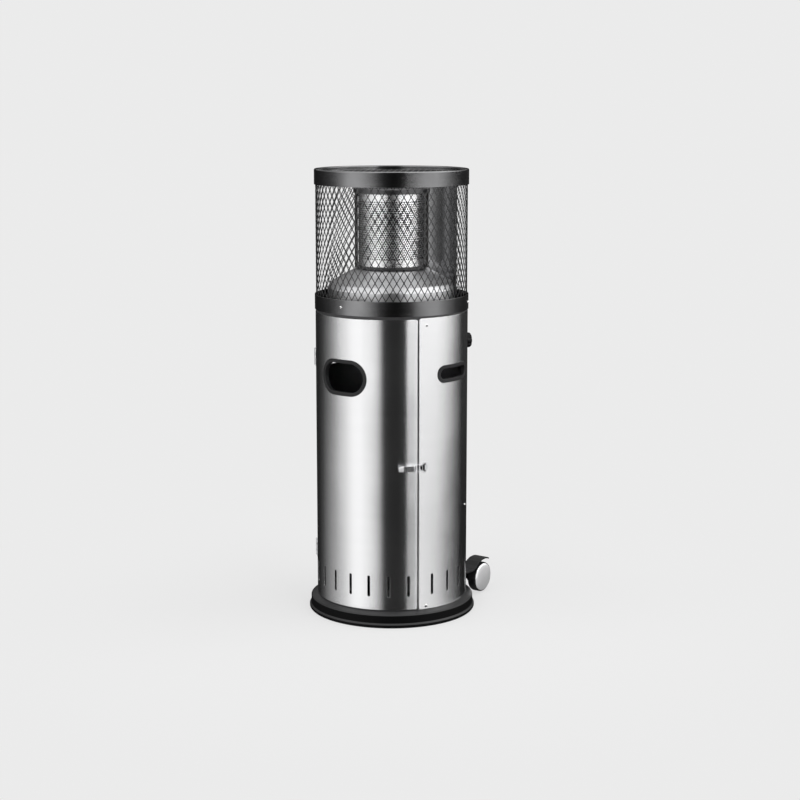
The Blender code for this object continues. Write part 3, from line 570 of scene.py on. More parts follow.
def curved_sheet(name, psi0, psi1, z0, z1, corners, holes, edge_roll, mats, body, slot, thick=1.0, step=1.25,
                 level=45.0, r_out=R):
    """A sheet bent round the axis. edge_roll = (left, right) radii of its vertical edges, which turn in."""
    k = math.radians(1.0) * r_out
    s0, s1 = psi0 * k, psi1 * k
    rb, rl = 0.3, 0.3
    verts, edges, fixed = [], [], []

    def add_loop(pts):
        base = len(verts)
        verts.extend(Vector(p) for p in pts)
        m = len(pts)
        edges.extend((base + i, base + (i + 1) % m) for i in range(m))

    def outline(d):
        """Outer boundary moved d mm in, corners = radii (bl, br, tr, tl)."""
        a, b, c, e = s0 + d, s1 - d, z0 + d, z1 - d
        pts = []
        for (cx, cz, sx, sz, a0), rad in zip(((a, c, 1, 1, 180), (b, c, -1, 1, 270), (b, e, -1, -1, 0), (a, e, 1, -1, 90)),
                                             corners):
            rad = max(0.05, rad - d)
            ox, oz = cx + sx * rad, cz + sz * rad
            for i in range(5):
                t = math.radians(a0 + 90 * i / 4)
                pts.append((ox + rad * math.cos(t), oz + rad * math.sin(t)))
        return pts
    for d in (0.0, 0.12, 0.3):
        add_loop(outline(d))
    for h in holes:
        for d in (0.0, 0.4 * h.roll, h.roll):
            add_loop(h.loop(d))
    # station lines, kept off the straight sides of the openings
    marks = []
    for h in holes:
        marks += [h.s - (h.w / 2), h.s + (h.w / 2), h.s - h.w / 2 - h.roll, h.s + h.w / 2 + h.roll]
    n = int(round((psi1 - psi0) / step))
    for i in range(1, n):
        s = s0 + (s1 - s0) * i / n
        if min((abs(s - m) for m in marks), default=9) < 0.5 or s - s0 < 4 or s1 - s < 4:
            continue
        base = len(verts)
        verts.extend((Vector((s, z0 + 0.3)), Vector((s, z1 - 0.3))))
        edges.append((base, base + 1))
    for side, roll in ((0, edge_roll[0]), (1, edge_roll[1])):
        for f in (0.12, 0.3, 0.55, 0.8, 1.0, 1.35):
            d = roll * f
            if d < 0.5:
                continue
            s = s0 + d if side == 0 else s1 - d
            base = len(verts)
            verts.extend((Vector((s, z0 + 3)), Vector((s, z1 - 3))))
            edges.append((base, base + 1))
    m = int((z1 - z0) / level)
    for i in range(1, m):
        z = z0 + (z1 - z0) * i / m
        base = len(verts)
        verts.extend((Vector((s0 + 0.3, z)), Vector((s1 - 0.3, z))))
        edges.append((base, base + 1))
    out = delaunay_2d_cdt(verts, edges, [], 0, 1e-5)
    pts, tris = out[0], out[2]

    def roll_depth(d, r):
        return 0.0 if d >= r else r - math.sqrt(max(0.0, r * r - (r - max(d, 0.0)) ** 2))

    top, bottom, normals = [], [], []
    grid = []
    for h in holes:
        grid.append((h.s - h.w / 2 - 2, h.s + h.w / 2 + 2, h))
    hole_of = [[h for a, b, h in grid if a <= p[0] <= b] for p in pts]
    for p, near in zip(pts, hole_of):
        s, z = p
        deep = max(roll_depth(s - s0, edge_roll[0]) if edge_roll[0] > 0.5 else 0,
                   roll_depth(s1 - s, edge_roll[1]) if edge_roll[1] > 0.5 else 0)
        inset = min([s - s0 if edge_roll[0] <= 0.5 else 9, s1 - s if edge_roll[1] <= 0.5 else 9, z - z0, z1 - z])
        chamfer = roll_depth(inset, 0.3)
        for h in near:
            d = h.dist(s, z)
            if d < h.roll:
                chamfer = max(chamfer, roll_depth(d, h.roll))
        psi = s / k
        top.append(polar(r_out - deep - chamfer * 0.9, psi, z))
        bottom.append(polar(r_out - deep - thick + chamfer * 0.9, psi, z))
        normals.append((deep, chamfer, psi))
    faces = []
    for t in tris:
        cx = sum(pts[i][0] for i in t) / 3
        cz = sum(pts[i][1] for i in t) / 3
        if any(h.dist(cx, cz) < 0 for h in hole_of[t[0]]):
            continue
        a, b, c = (pts[i] for i in t)
        if abs((b - a).cross(c - a)) < 1e-9:
            continue
        faces.append(tuple(t))
    used = sorted({i for f in faces for i in f})
    new = {old: j for j, old in enumerate(used)}
    nv = len(used)
    all_verts = [top[i] for i in used] + [bottom[i] for i in used]
    upper = [[new[i] for i in f] for f in faces]
    lower = [[nv + new[i] for i in f][::-1] for f in faces]
    count = {}
    for f in upper:
        for a, b in zip(f, f[1:] + f[:1]):
            count[(a, b)] = count.get((a, b), 0) + 1
    rim = [[b, a, a + nv, b + nv] for (a, b) in count if (b, a) not in count]
    all_faces = upper + lower + rim
    # the under side takes the second material, the darkened inside: painted shade
    index = [0] * len(upper) + [1] * len(lower) + [0] * len(rim)
    ob = make(name, all_verts, all_faces, mats, body, slot, index=index, sharp=50, weighted=False)
    # true normals of the bent sheet, so that reflections run clean past the openings
    me = ob.data
    radial = np.empty((len(me.vertices), 3))
    me_co = np.empty(len(me.vertices) * 3)
    me.vertices.foreach_get("co", me_co)
    co = me_co.reshape(-1, 3)
    rr = np.hypot(co[:, 0], co[:, 1])
    radial[:, 0], radial[:, 1], radial[:, 2] = co[:, 0] / rr, co[:, 1] / rr, 0
    plain = np.zeros(len(me.vertices), bool)
    flags = np.array([normals[i][0] < 1e-6 and normals[i][1] < 0.03 for i in used])
    plain[:nv], plain[nv:] = flags, flags
    loops = [tuple(l) for l in np.array([cn.vector[:] for cn in me.corner_normals])]
    lv = np.empty(len(me.loops), np.int32)
    me.loops.foreach_get("vertex_index", lv)
    out_n = []
    for l, v in zip(loops, lv):
        if plain[v]:
            out_n.append(tuple(radial[v]) if v < nv else tuple(-radial[v]))
        else:
            out_n.append(l)
    me.normals_split_custom_set(out_n)
    return ob


# ================================================================== the stage: camera, light, floor
def stage():
    sc = bpy.context.scene
    sc.view_settings.view_transform = "Standard"
    cam = bpy.data.objects.new("camera", bpy.data.cameras.new("camera"))
    sc.collection.objects.link(cam)
    az, dist, height = 36.0, 4.4, 1.3353
    s, c = sincos(az)
    cam.location = (dist * s, -dist * c, height)
    pitch, yaw = 10.118, 0.280
    cam.rotation_euler = (math.radians(90 - pitch), 0, math.radians(az - yaw))
    cam.data.lens = 77.306
    cam.data.sensor_width = 36.0
    cam.data.clip_end = 60
    sc.camera = cam

    # studio light: two wide soft boxes in front, left and right, with a dark gap between them
    w = bpy.data.worlds.new("studio")
    sc.world = w
    w.use_nodes = True
    nt = w.node_tree
    nt.nodes.clear()

    def node(kind, **kw):
        n = nt.nodes.new(kind)
        for k, v in kw.items():
            setattr(n, k, v)
        return n

    def m(op, a, b=0.0):
        n = node("ShaderNodeMath", operation=op)
        for i, v in enumerate((a, b)):
            if isinstance(v, (int, float)):
                n.inputs[i].default_value = v
            else:
                nt.links.new(v, n.inputs[i])
        return n.outputs[0]

    def ramp(fac, stops, interp="LINEAR"):
        n = node("ShaderNodeValToRGB")
        n.color_ramp.interpolation = interp
        el = n.color_ramp.elements
        while len(el) < len(stops):
            el.new(0.5)
        for e, (p, v) in zip(el, stops):
            e.position, e.color = p, (v, v, v, 1)
        nt.links.new(fac, n.inputs[0])
        return n.outputs[0]

    tc = node("ShaderNodeTexCoord")
    sep = node("ShaderNodeSeparateXYZ")
    nt.links.new(tc.outputs["Generated"], sep.inputs[0])
    # azimuth of the direction, measured from the key direction (the photograph's side), -180..180
    rot = node("ShaderNodeVectorRotate", rotation_type="Z_AXIS")
    rot.inputs["Angle"].default_value = math.radians(-az)
    nt.links.new(tc.outputs["Generated"], rot.inputs["Vector"])
    sr = node("ShaderNodeSeparateXYZ")
    nt.links.new(rot.outputs[0], sr.inputs[0])
    phi = m("ARCTAN2", sr.outputs[0], m("MULTIPLY", sr.outputs[1], -1.0))
    fac = m("ADD", m("DIVIDE", phi, 2 * math.pi), 0.5)
    elev = m("ARCSINE", sep.outputs[2])

    def at(deg):
        return (deg + 180.0) / 360.0
    high = ramp(fac, [(at(-180), 0.03), (at(-148), 0.0), (at(-133), 0.1), (at(-117), 0.85), (at(-106), 1.7),
                      (at(-97), 2.6), (at(-88), 3.9), (at(-80), 4.2), (at(-71), 2.1), (at(-55), 1.6),
                      (at(-43), 2.4), (at(-37), 3.4), (at(-30), 4.9), (at(-24), 5.4), (at(-18), 3.4), (at(-13.5), 0.02),
                      (at(21), 0.005), (at(24.5), 9.2), (at(32), 7.8), (at(39), 6.0), (at(50), 3.8), (at(60), 3.3),
                      (at(72), 4.3), (at(82), 6.5), (at(90), 7.4), (at(100), 6.8), (at(110), 5.4), (at(118), 3.7),
                      (at(126), 1.5), (at(131), 0.03), (at(150), 0.0), (at(180), 0.08)])
    level = ramp(fac, [(at(-180), 0.03), (at(-148), 0.02), (at(-123), 0.045), (at(-106), 0.09), (at(-92), 0.22),
                       (at(-79), 0.6), (at(-68), 1.22), (at(-57), 1.42), (at(-47), 1.32), (at(-37), 0.86), (at(-27), 0.37),
                       (at(-18), 0.09), (at(-8), 0.03), (at(1), 0.012), (at(10), 0.012), (at(19), 0.03), (at(29), 0.1),
                       (at(39), 0.66), (at(49), 1.05), (at(59), 1.28), (at(70), 1.26), (at(82), 0.86), (at(95), 0.44),
                       (at(110), 0.13), (at(128), 0.05), (at(156), 0.04), (at(180), 0.04)])
    low = ramp(fac, [(at(-180), 0.02), (at(-148), 0.02), (at(-131), 0.09), (at(-117), 0.28), (at(-106), 0.42),
                     (at(-97), 0.52), (at(-88), 0.62), (at(-80), 0.76), (at(-71), 1.0), (at(-62), 1.3), (at(-50), 1.35),
                     (at(-38), 1.1), (at(-30), 0.78), (at(-24), 0.54), (at(-18), 0.32), (at(-12), 0.06), (at(-8), 0.03),
                     (at(21), 0.02), (at(26), 0.02), (at(32), 0.03), (at(39), 0.38), (at(45), 0.88),
                     (at(60), 0.66), (at(72), 0.46), (at(82), 0.25), (at(90), 0.07), (at(100), 0.01), (at(110), 0.0),
                     (at(180), 0.02)])

    def by_height(a, b, lo, hi):
        n = node("ShaderNodeMix", data_type="RGBA")
        mr = node("ShaderNodeMapRange", interpolation_type="SMOOTHSTEP")
        mr.inputs["From Min"].default_value, mr.inputs["From Max"].default_value = math.radians(lo), math.radians(hi)
        nt.links.new(elev, mr.inputs["Value"])
        nt.links.new(mr.outputs[0], n.inputs["Factor"])
        nt.links.new(a, n.inputs["A"])
        nt.links.new(b, n.inputs["B"])
        return n
    behind = ramp(fac, [(at(-180), 0.38), (at(-150), 0.34), (at(-131), 0.3), (at(-117), 0.5), (at(-106), 0.8),
                        (at(-97), 1.3), (at(-88), 2.0), (at(-80), 2.3), (at(-71), 1.75), (at(-50), 1.55),
                        (at(-30), 2.6), (at(-18), 1.7), (at(-13), 0.02), (at(22), 0.02), (at(26), 3.0), (at(50), 2.15),
                        (at(82), 2.8), (at(110), 2.2), (at(127), 0.5), (at(150), 0.34), (at(180), 0.38)])
    upper = by_height(high, behind, 9, 16)
    side = by_height(low, by_height(level, upper.outputs["Result"], 1, 5).outputs["Result"], -15, -8)
    over = node("ShaderNodeMix", data_type="RGBA")
    mr = node("ShaderNodeMapRange", interpolation_type="SMOOTHSTEP")
    mr.inputs["From Min"].default_value, mr.inputs["From Max"].default_value = math.radians(38), math.radians(66)
    nt.links.new(elev, mr.inputs["Value"])
    nt.links.new(mr.outputs[0], over.inputs["Factor"])
    nt.links.new(side.outputs["Result"], over.inputs["A"])
    over.inputs["B"].default_value = (1.6, 1.6, 1.6, 1)
    light = node("ShaderNodeBackground")
    nt.links.new(over.outputs["Result"], light.inputs["Color"])
    back = node("ShaderNodeBackground")
    back.inputs["Color"].default_value = (BACKDROP, BACKDROP, BACKDROP, 1)
    path = node("ShaderNodeLightPath")
    pick = node("ShaderNodeMixShader")
    nt.links.new(path.outputs["Is Camera Ray"], pick.inputs[0])
    nt.links.new(light.outputs[0], pick.inputs[1])
    nt.links.new(back.outputs[0], pick.inputs[2])
    out = node("ShaderNodeOutputWorld")
    nt.links.new(pick.outputs[0], out.inputs[0])

    # floor: a pale disc of the backdrop's tone that takes a faint shadow
    segs = 96
    verts = [(9 * math.cos(2 * math.pi * i / segs), 9 * math.sin(2 * math.pi * i / segs), 0) for i in range(segs)]
    me = bpy.data.meshes.new("floor")
    me.from_pydata(verts, [], [list(range(segs))])
    floor = bpy.data.objects.new("floor", me)
    sc.collection.objects.link(floor)
    mat = bpy.data.materials.new("floor")
    mat.use_nodes = True
    ft = mat.node_tree
    ft.nodes.clear()
    dif = ft.nodes.new("ShaderNodeBsdfDiffuse")
    dif.inputs["Color"].default_value = (0.16, 0.16, 0.16, 1)
    emi = ft.nodes.new("ShaderNodeEmission")
    emi.inputs["Color"].default_value = (GLOW, GLOW, GLOW, 1)
    add = ft.nodes.new("ShaderNodeAddShader")
    ft.links.new(dif.outputs[0], add.inputs[0])
    ft.links.new(emi.outputs[0], add.inputs[1])
    far = ft.nodes.new("ShaderNodeEmission")
    far.inputs["Color"].default_value = (BACKDROP, BACKDROP, BACKDROP, 1)
    fc = ft.nodes.new("ShaderNodeTexCoord")
    ln = ft.nodes.new("ShaderNodeVectorMath")
    ln.operation = "LENGTH"
    ft.links.new(fc.outputs["Object"], ln.inputs[0])
    fr = ft.nodes.new("ShaderNodeMapRange")
    fr.interpolation_type = "SMOOTHSTEP"
    fr.inputs["From Min"].default_value, fr.inputs["From Max"].default_value = 0.5, 1.3
    ft.links.new(ln.outputs["Value"], fr.inputs["Value"])
    fm = ft.nodes.new("ShaderNodeMixShader")
    ft.links.new(fr.outputs[0], fm.inputs[0])
    ft.links.new(add.outputs[0], fm.inputs[1])
    ft.links.new(far.outputs[0], fm.inputs[2])
    fo = ft.nodes.new("ShaderNodeOutputMaterial")
    ft.links.new(fm.outputs[0], fo.inputs[0])
    me.materials.append(mat)
    floor.visible_glossy = False


BACKDROP, GLOW = 0.832, 0.615
stage()

# ================================================================== base
base_profile = fillet([
    (0, 0.0), (215.2, 0.0), (217.5, 2.6), (217.5, 8.0), (213.0, 12.3), (213.0, 31.6), (209.5, 34.3), (195.2, 39.6),
    (194.4, 58.0), (193.1, 58.0), (193.1, 38.2), (208.5, 32.6), (211.4, 30.6), (211.4, 11.8), (215.8, 7.2),
    (215.8, 3.2), (214.4, 1.6), (0, 1.6)],
    {1: 1.6, 2: 2.0, 3: 2.4, 4: 1.6, 5: 1.8, 6: 3.0, 7: 0.8, 8: 0.6, 9: 0.6, 10: 1.0, 11: 2, 12: 1.5, 13: 1.2,
     14: 1.5, 15: 1.2}, closed=False)
base = lathe("base_pan_formed", base_profile, [BASE, PAINTED_SHADE_BLACK], "heater", "black_enamel", closed=False)
# the base's upright walls take the darker copy of its coating: painted shade
for p in base.data.polygons:
    if abs(p.normal.z) < 0.5 and math.hypot(p.center.x, p.center.y) > 0.205:
        p.material_index = 1
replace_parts(base, "base_pan")

# ================================================================== cabinet
holes = [Hole((a - 0.0) * math.radians(1) * R, (VENT_Z0 + VENT_Z1) / 2, VENT_W, VENT_Z1 - VENT_Z0, 0.3)
         for a in REAR_VENTS]
K = math.radians(1) * R
for psi in (HANDLE[0], 360 - HANDLE[0]):
    holes.append(Hole(psi * K, HANDLE[1], HANDLE[2] + 5.4, HANDLE[3] + 5.4, 0.3, 2))
holes.append(Hole(PSI_KNOB * K, Z_KNOB, 16, 16, 0.3, 1.5))
rear = curved_sheet("rear_shell_sheet", PSI_LATCH + SEAM, 360 + PSI_HINGE - SEAM, 40.0, 787.0, (5, 3, 4, 6), holes,
                    (1.4, 0.4), [SHELL, INNER_PAINTED_SHADE], "heater", "stainless_shell")
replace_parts(rear, "rear_shell")
holes = [Hole(a * K, (VENT_Z0 + VENT_Z1) / 2, VENT_W, VENT_Z1 - VENT_Z0, 0.3) for a in DOOR_VENTS]
holes.append(Hole(DOORWIN[0] * K, DOORWIN[1], DOORWIN[2] + 5.4, DOORWIN[3] + 5.4, 0.3, 3))
door = curved_sheet("door_panel_sheet", PSI_HINGE + SEAM, PSI_LATCH - SEAM, 42.0, 784.5, (3, 6.5, 7, 4), holes,
                    (0.9, 2.3), [SHELL, INNER_PAINTED_SHADE], "door", "stainless_shell")
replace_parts(door, "door_panel")

# trims: a soft flange on the skin and a collar through it
trim_section = fillet([(0, -9), (0, 2.0), (9.5, 2.2), (9.5, 0.1), (2.2, 0.1), (2.2, -9)],
                      {0: 0.5, 1: 1.7, 2: 1.8, 3: 0.3, 5: 0.5}, 5)


def trim(name, spec, psi, node, body, straight, round_):
    def place(x, y, n):
        return polar(R + n, psi + math.degrees(x / R), spec[1] + y)
    v, f = sweep_loop(obround(spec[2], spec[3], straight, round_), trim_section, place)
    ob = make(name, v, f, TRIM, body, "black_plastic", sharp=50)
    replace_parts(ob, node)
    return ob


trim("door_opening_trim_moulded", DOORWIN, DOORWIN[0], "door_opening_trim", "door", 16, 28)
trim("handle_trim_right_moulded", HANDLE, HANDLE[0], "handle_trim_right", "heater", 24, 16)
trim("handle_trim_left_moulded", HANDLE, -HANDLE[0], "handle_trim_left", "heater", 24, 16)

# ================================================================== bands, grille, guard
lower = lathe("lower_band_rolled", fillet([(196.3, 792), (197.6, 792), (197.6, 830), (196.3, 830)], 0.55, 4), BAND,
              "heater", "black_enamel")
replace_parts(lower, "lower_band")
top_profile = fillet([
    (196.2, 1109.0), (197.4, 1109.0), (197.4, 1145.6), (195.6, 1148.0), (192.6, 1148.0), (190.8, 1145.8),
    (190.8, 1136.2), (186.0, 1136.2), (186.0, 1135.0), (191.9, 1135.0), (191.9, 1145.0), (193.2, 1146.8),
    (195.0, 1146.8), (196.2, 1145.0)],
    {0: 0.4, 1: 0.4, 2: 1.6, 3: 1.6, 4: 1.6, 5: 1.4, 6: 0.3, 7: 0.4, 8: 0.4, 9: 1.0, 10: 0.6, 11: 0.8, 12: 0.8,
     13: 0.6}, 4)
top = lathe("top_band_rolled", top_profile, BAND, "heater", "black_enamel")
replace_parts(top, "top_band")


def strands(centre, a, b, width, bond, tilt, thick, point):
    """One opening of expanded mesh: the ring of strand halves round it, as top and under side.
    point(x, y, h) places it; centre in sheet coordinates, a and b are its half width and half height."""
    r = a * b / math.hypot(a, b)
    k = 1 - (width / 2) / r
    xa, yb = k * a, k * b
    xs = a - bond
    ys = yb * (1 - xs / xa)
    outer = [(a, 0), (0, b), (-a, 0), (0, -b)]
    inner = [(xs, ys, -0.25), (0, yb, -1), (-xs, ys, -0.25), (-xs, -ys, 0.25), (0, -yb, 1), (xs, -ys, 0.25)]
    top, low = [], []
    for x, y in outer:
        top.append(point(centre[0] + x, centre[1] + y, thick / 2))
        low.append(point(centre[0] + x, centre[1] + y, -thick / 2))
    for x, y, t in inner:
        top.append(point(centre[0] + x, centre[1] + y, thick / 2 + tilt * t))
        low.append(point(centre[0] + x, centre[1] + y, -thick / 2 + tilt * t))
    # 0..3 outer right, top, left, bottom; 4..9 inner
    flat = [(0, 1, 5, 4), (1, 2, 6, 5), (2, 7, 6), (2, 3, 8, 7), (3, 0, 9, 8), (0, 4, 9)]
    return top, low, flat


def expanded(cells, a, b, width, bond, tilt, thick, point, key):
    """Expanded mesh from a list of opening centres. key(x, y) names shared corners."""
    verts, faces, shared = [], [], {}

    def share(x, y, up, p):
        k = key(x, y) + (up,)
        if k not in shared:
            shared[k] = len(verts)
            verts.append(p)
        return shared[k]
    edge = {}
    for cx, cy in cells:
        top, low, flat = strands((cx, cy), a, b, width, bond, tilt, thick, point)
        ids_t, ids_l = [], []
        for i, (dx, dy) in enumerate(((a, 0), (0, b), (-a, 0), (0, -b))):
            ids_t.append(share(cx + dx, cy + dy, 1, top[i]))
            ids_l.append(share(cx + dx, cy + dy, 0, low[i]))
        for i in range(4, 10):
            ids_t.append(len(verts))
            verts.append(top[i])
            ids_l.append(len(verts))
            verts.append(low[i])
        for f in flat:
            faces.append([ids_t[i] for i in f])
            faces.append([ids_l[i] for i in f][::-1])
        ring = [4, 5, 6, 7, 8, 9]
        for i, j in zip(ring, ring[1:] + ring[:1]):
            faces.append([ids_t[i], ids_t[j], ids_l[j], ids_l[i]])
        for i, j in ((0, 1), (1, 2), (2, 3), (3, 0)):
            e = (ids_t[i], ids_t[j], ids_l[j], ids_l[i])
            k = tuple(sorted((ids_t[i], ids_t[j])))
            edge.setdefault(k, []).append(e)
    for k, es in edge.items():
        if len(es) == 1:
            faces.append(list(es[0])[::-1])
    return verts, faces


COLS, ROWS = 68, 11
RG = 193.6
a, b = math.pi * RG / COLS, (1131.0 - 800.0) / ROWS / 2
cells = []
for j in range(1, 2 * ROWS):
    for i in range(2 * COLS):
        if (i + j) % 2:
            cells.append((i * a, 800.0 + j * b))
verts, faces = expanded(
    cells, a, b, 2.05, 1.6, 0.45, 0.85,
    lambda x, y, h: polar(RG + h, math.degrees(x / RG), y),
    lambda x, y: (int(round(x / a)) % (2 * COLS), int(round((y - 800.0) / b))))
guard = make("guard_expanded_mesh", verts, faces, MESH, "heater", "black_mesh", sharp=40, weighted=False)
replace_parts(guard, "guard_mesh")

ga, gb = 8.9, 15.0
cells = []
for i in range(-24, 25):
    for j in range(-14, 15):
        if (i + j) % 2:
            if math.hypot(i * ga, j * gb) < 188:
                cells.append((i * ga, j * gb))


def flat_point(x, y, h):
    r = math.hypot(x, y)
    if r > 190.0:
        x, y = x * 190.0 / r, y * 190.0 / r
    return Vector((x * MM, y * MM, (1137.3 + h) * MM))


# the sheet is cut to a disc: openings that cross its edge end there
verts, faces = expanded([c for c in cells if math.hypot(*c) < 181], ga, gb, 1.7, 1.4, 0.0, 0.95, flat_point,
                        lambda x, y: (int(round(x / ga)), int(round(y / gb))))
rim_v, rim_f = lathe_data(fillet([(183.5, 1136.75), (190.2, 1136.75), (190.2, 1137.85), (183.5, 1137.85)], 0.3, 2), 160)
grille = joined("top_grille_mesh", [(verts, faces), (rim_v, rim_f)], MESH, "heater", "black_mesh", sharp=40,
                weighted=False)
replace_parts(grille, "top_grille")

# ================================================================== burner housing
dome_profile = fillet([
    (164.0, 791.0), (164.0, 847.0), (157.0, 859.5), (126.0, 877.6), (95.0, 892.9), (80.0, 895.6), (80.0, 894.4),
    (94.6, 891.7), (125.4, 876.4), (156.2, 858.4), (162.8, 846.6), (162.8, 791.0)],
    {0: 0.4, 1: 8, 2: 9, 3: 30, 4: 10, 5: 0.4, 6: 0.4, 7: 9, 8: 29, 9: 8, 10: 7, 11: 0.4}, 6)
dome = lathe("burner_dome_pressed", dome_profile, BURNER, "heater", "stainless_burner")
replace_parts(dome, "burner_dome")
seat = lathe("emitter_seat_ring", fillet([(79, 896), (88.5, 896), (88.5, 903), (79, 903)], {1: 1.0, 2: 1.2}, 4), ENAMEL,
             "heater", "black_enamel", segs=160)
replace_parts(seat, "emitter_seat")
cap_profile = fillet([(0, 1101), (94.5, 1101), (98, 1098), (98, 1087.5), (96.7, 1087.5), (96.7, 1097), (94, 1099.6),
                      (0, 1099.6)], {1: 3, 2: 2, 3: 0.4, 4: 0.4, 5: 2, 6: 2}, 4, closed=False)
cap = lathe("emitter_cap_pressed", cap_profile, CAP, "heater", "black_enamel", segs=160, closed=False)
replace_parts(cap, "emitter_cap")


def perforated(name, r, thick, z0, z1, h0, h1, around, rows, hole, mats, body, slot):
    """Tube with staggered round holes between h0 and h1."""
    n2 = around * 2
    dz = (h1 - h0) / rows
    verts, faces, grid = [], [], {}

    def gv(i, lev, side):
        """Corner points: lev counts half rows up from h0."""
        key = (i % n2, lev, side)
        if key not in grid:
            grid[key] = len(verts)
            verts.append(polar(r - thick * side, 360.0 * (i % n2) / n2, h0 + dz * lev / 2))
        return grid[key]
    da = 360.0 / n2
    half_w = math.radians(da) * r
    for row in range(rows):
        for c in range(around):
            i0 = 2 * c + (row % 2)
            psi = da * (i0 + 1)
            zc = h0 + dz * (row + 0.5)
            rings = []
            for side in (0, 1):
                rr = r - thick * side
                around_pts = [(i0, 2 * row), (i0 + 1, 2 * row), (i0 + 2, 2 * row), (i0 + 2, 2 * row + 1),
                              (i0 + 2, 2 * row + 2), (i0 + 1, 2 * row + 2), (i0, 2 * row + 2), (i0, 2 * row + 1)]
                out = [gv(i, l, side) for i, l in around_pts]
                ring = []
                for k in range(8):
                    t = math.radians(-135 + 45 * k)
                    ring.append(len(verts))
                    verts.append(polar(rr, psi + math.degrees(hole / 2 * math.cos(t) / r), zc + hole / 2 * math.sin(t)))
                for k in range(8):
                    l = (k + 1) % 8
                    f = [out[k], out[l], ring[l], ring[k]]
                    faces.append(f if side == 0 else f[::-1])
                rings.append(ring)
            for k in range(8):
                l = (k + 1) % 8
                faces.append([rings[0][k], rings[0][l], rings[1][l], rings[1][k]])
    for lev, z in ((0, z0), (2 * rows, z1)):
        ends = []
        for side in (0, 1):
            ring = []
            for i in range(n2):
                ring.append(len(verts))
                verts.append(polar(r - thick * side, da * i, z))
            for i in range(n2):
                j = (i + 1) % n2
                f = [ring[i], ring[j], gv(j, lev, side), gv(i, lev, side)]
                faces.append(f if (side == 0) == (lev == 0) else f[::-1])
            ends.append(ring)
        for i in range(n2):
            j = (i + 1) % n2
            f = [ends[0][i], ends[0][j], ends[1][j], ends[1][i]]
            faces.append(f)
    # hole walls and the tube's inside take the second, near-black material: painted shade that makes the holes read
    # dark
    edge = (r - thick * 0.5) * MM
    index = [0 if sum(math.hypot(verts[i][0], verts[i][1]) > edge for i in f) == len(f) else 1 for f in faces]
    return make(name, verts, faces, mats, body, slot, index=index, sharp=35, weighted=False)


emitter = perforated("emitter_perforated", 85.0, 0.8, 903.6, 1086.0, 921.0, 1069.0, 84, 27, 4.3, [EMITTER_PAINTED_LIGHT, PAINTED_SHADE_BLACK],
                     "heater", "stainless_burner")
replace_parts(emitter, "emitter_screen")

# reflector: a polished sheet
refl = [(167.0, 791.2), (167.0, 1129.0), (166.1, 1129.0), (166.1, 791.2)]
reflector = lathe("reflector_polished", refl, POLISHED, "heater", "polished_steel", segs=110, a0=112, a1=244, sharp=30)
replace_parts(reflector, "reflector_panel")

# ================================================================== fittings on the cabinet

def placed(name, parts, frame_, mats, body, slot, **kw):
    """Closed shapes given in metres in a local frame, as one piece."""
    out = []
    for part in parts:
        v, f = moved(part, frame_)
        out.append((v, f) + tuple(part[2:]))
    return joined(name, out, mats, body, slot, **kw)


def turned_x(profile, segs=32):
    """Profile of (radius, height) turned about local x."""
    v, f = lathe_data(profile, segs, closed=False)
    return [OUTWARD @ Vector(p) for p in v], f


def shifted(part, x=0.0, y=0.0, z=0.0):
    return [Vector(p) + Vector((x, y, z)) * MM for p in part[0]], part[1]


def domed(r, h, base=0.0):
    """Rivet or pin head on the local x axis."""
    prof = [(0, base + h)]
    for k in range(1, 7):
        a = math.pi / 2 * k / 6
        prof.append((r * math.sin(a), base + h * 0.35 + h * 0.65 * math.cos(a)))
    return turned_x(prof + [(r, base), (0, base)], 24)


def wire(points, bend, steps=6):
    """Polyline in mm with its corners rounded, in metres."""
    pts = [Vector(p) for p in points]
    out = [pts[0]]
    for a, b, c in zip(pts, pts[1:], pts[2:]):
        u, v = a - b, c - b
        d = min(bend, 0.48 * u.length, 0.48 * v.length)
        s0, s1 = b + u.normalized() * d, b + v.normalized() * d
        for k in range(steps + 1):
            t = k / steps
            out.append(s0 * (1 - t) ** 2 + b * 2 * t * (1 - t) + s1 * t * t)
    out.append(pts[-1])
    return [p * MM for p in out]


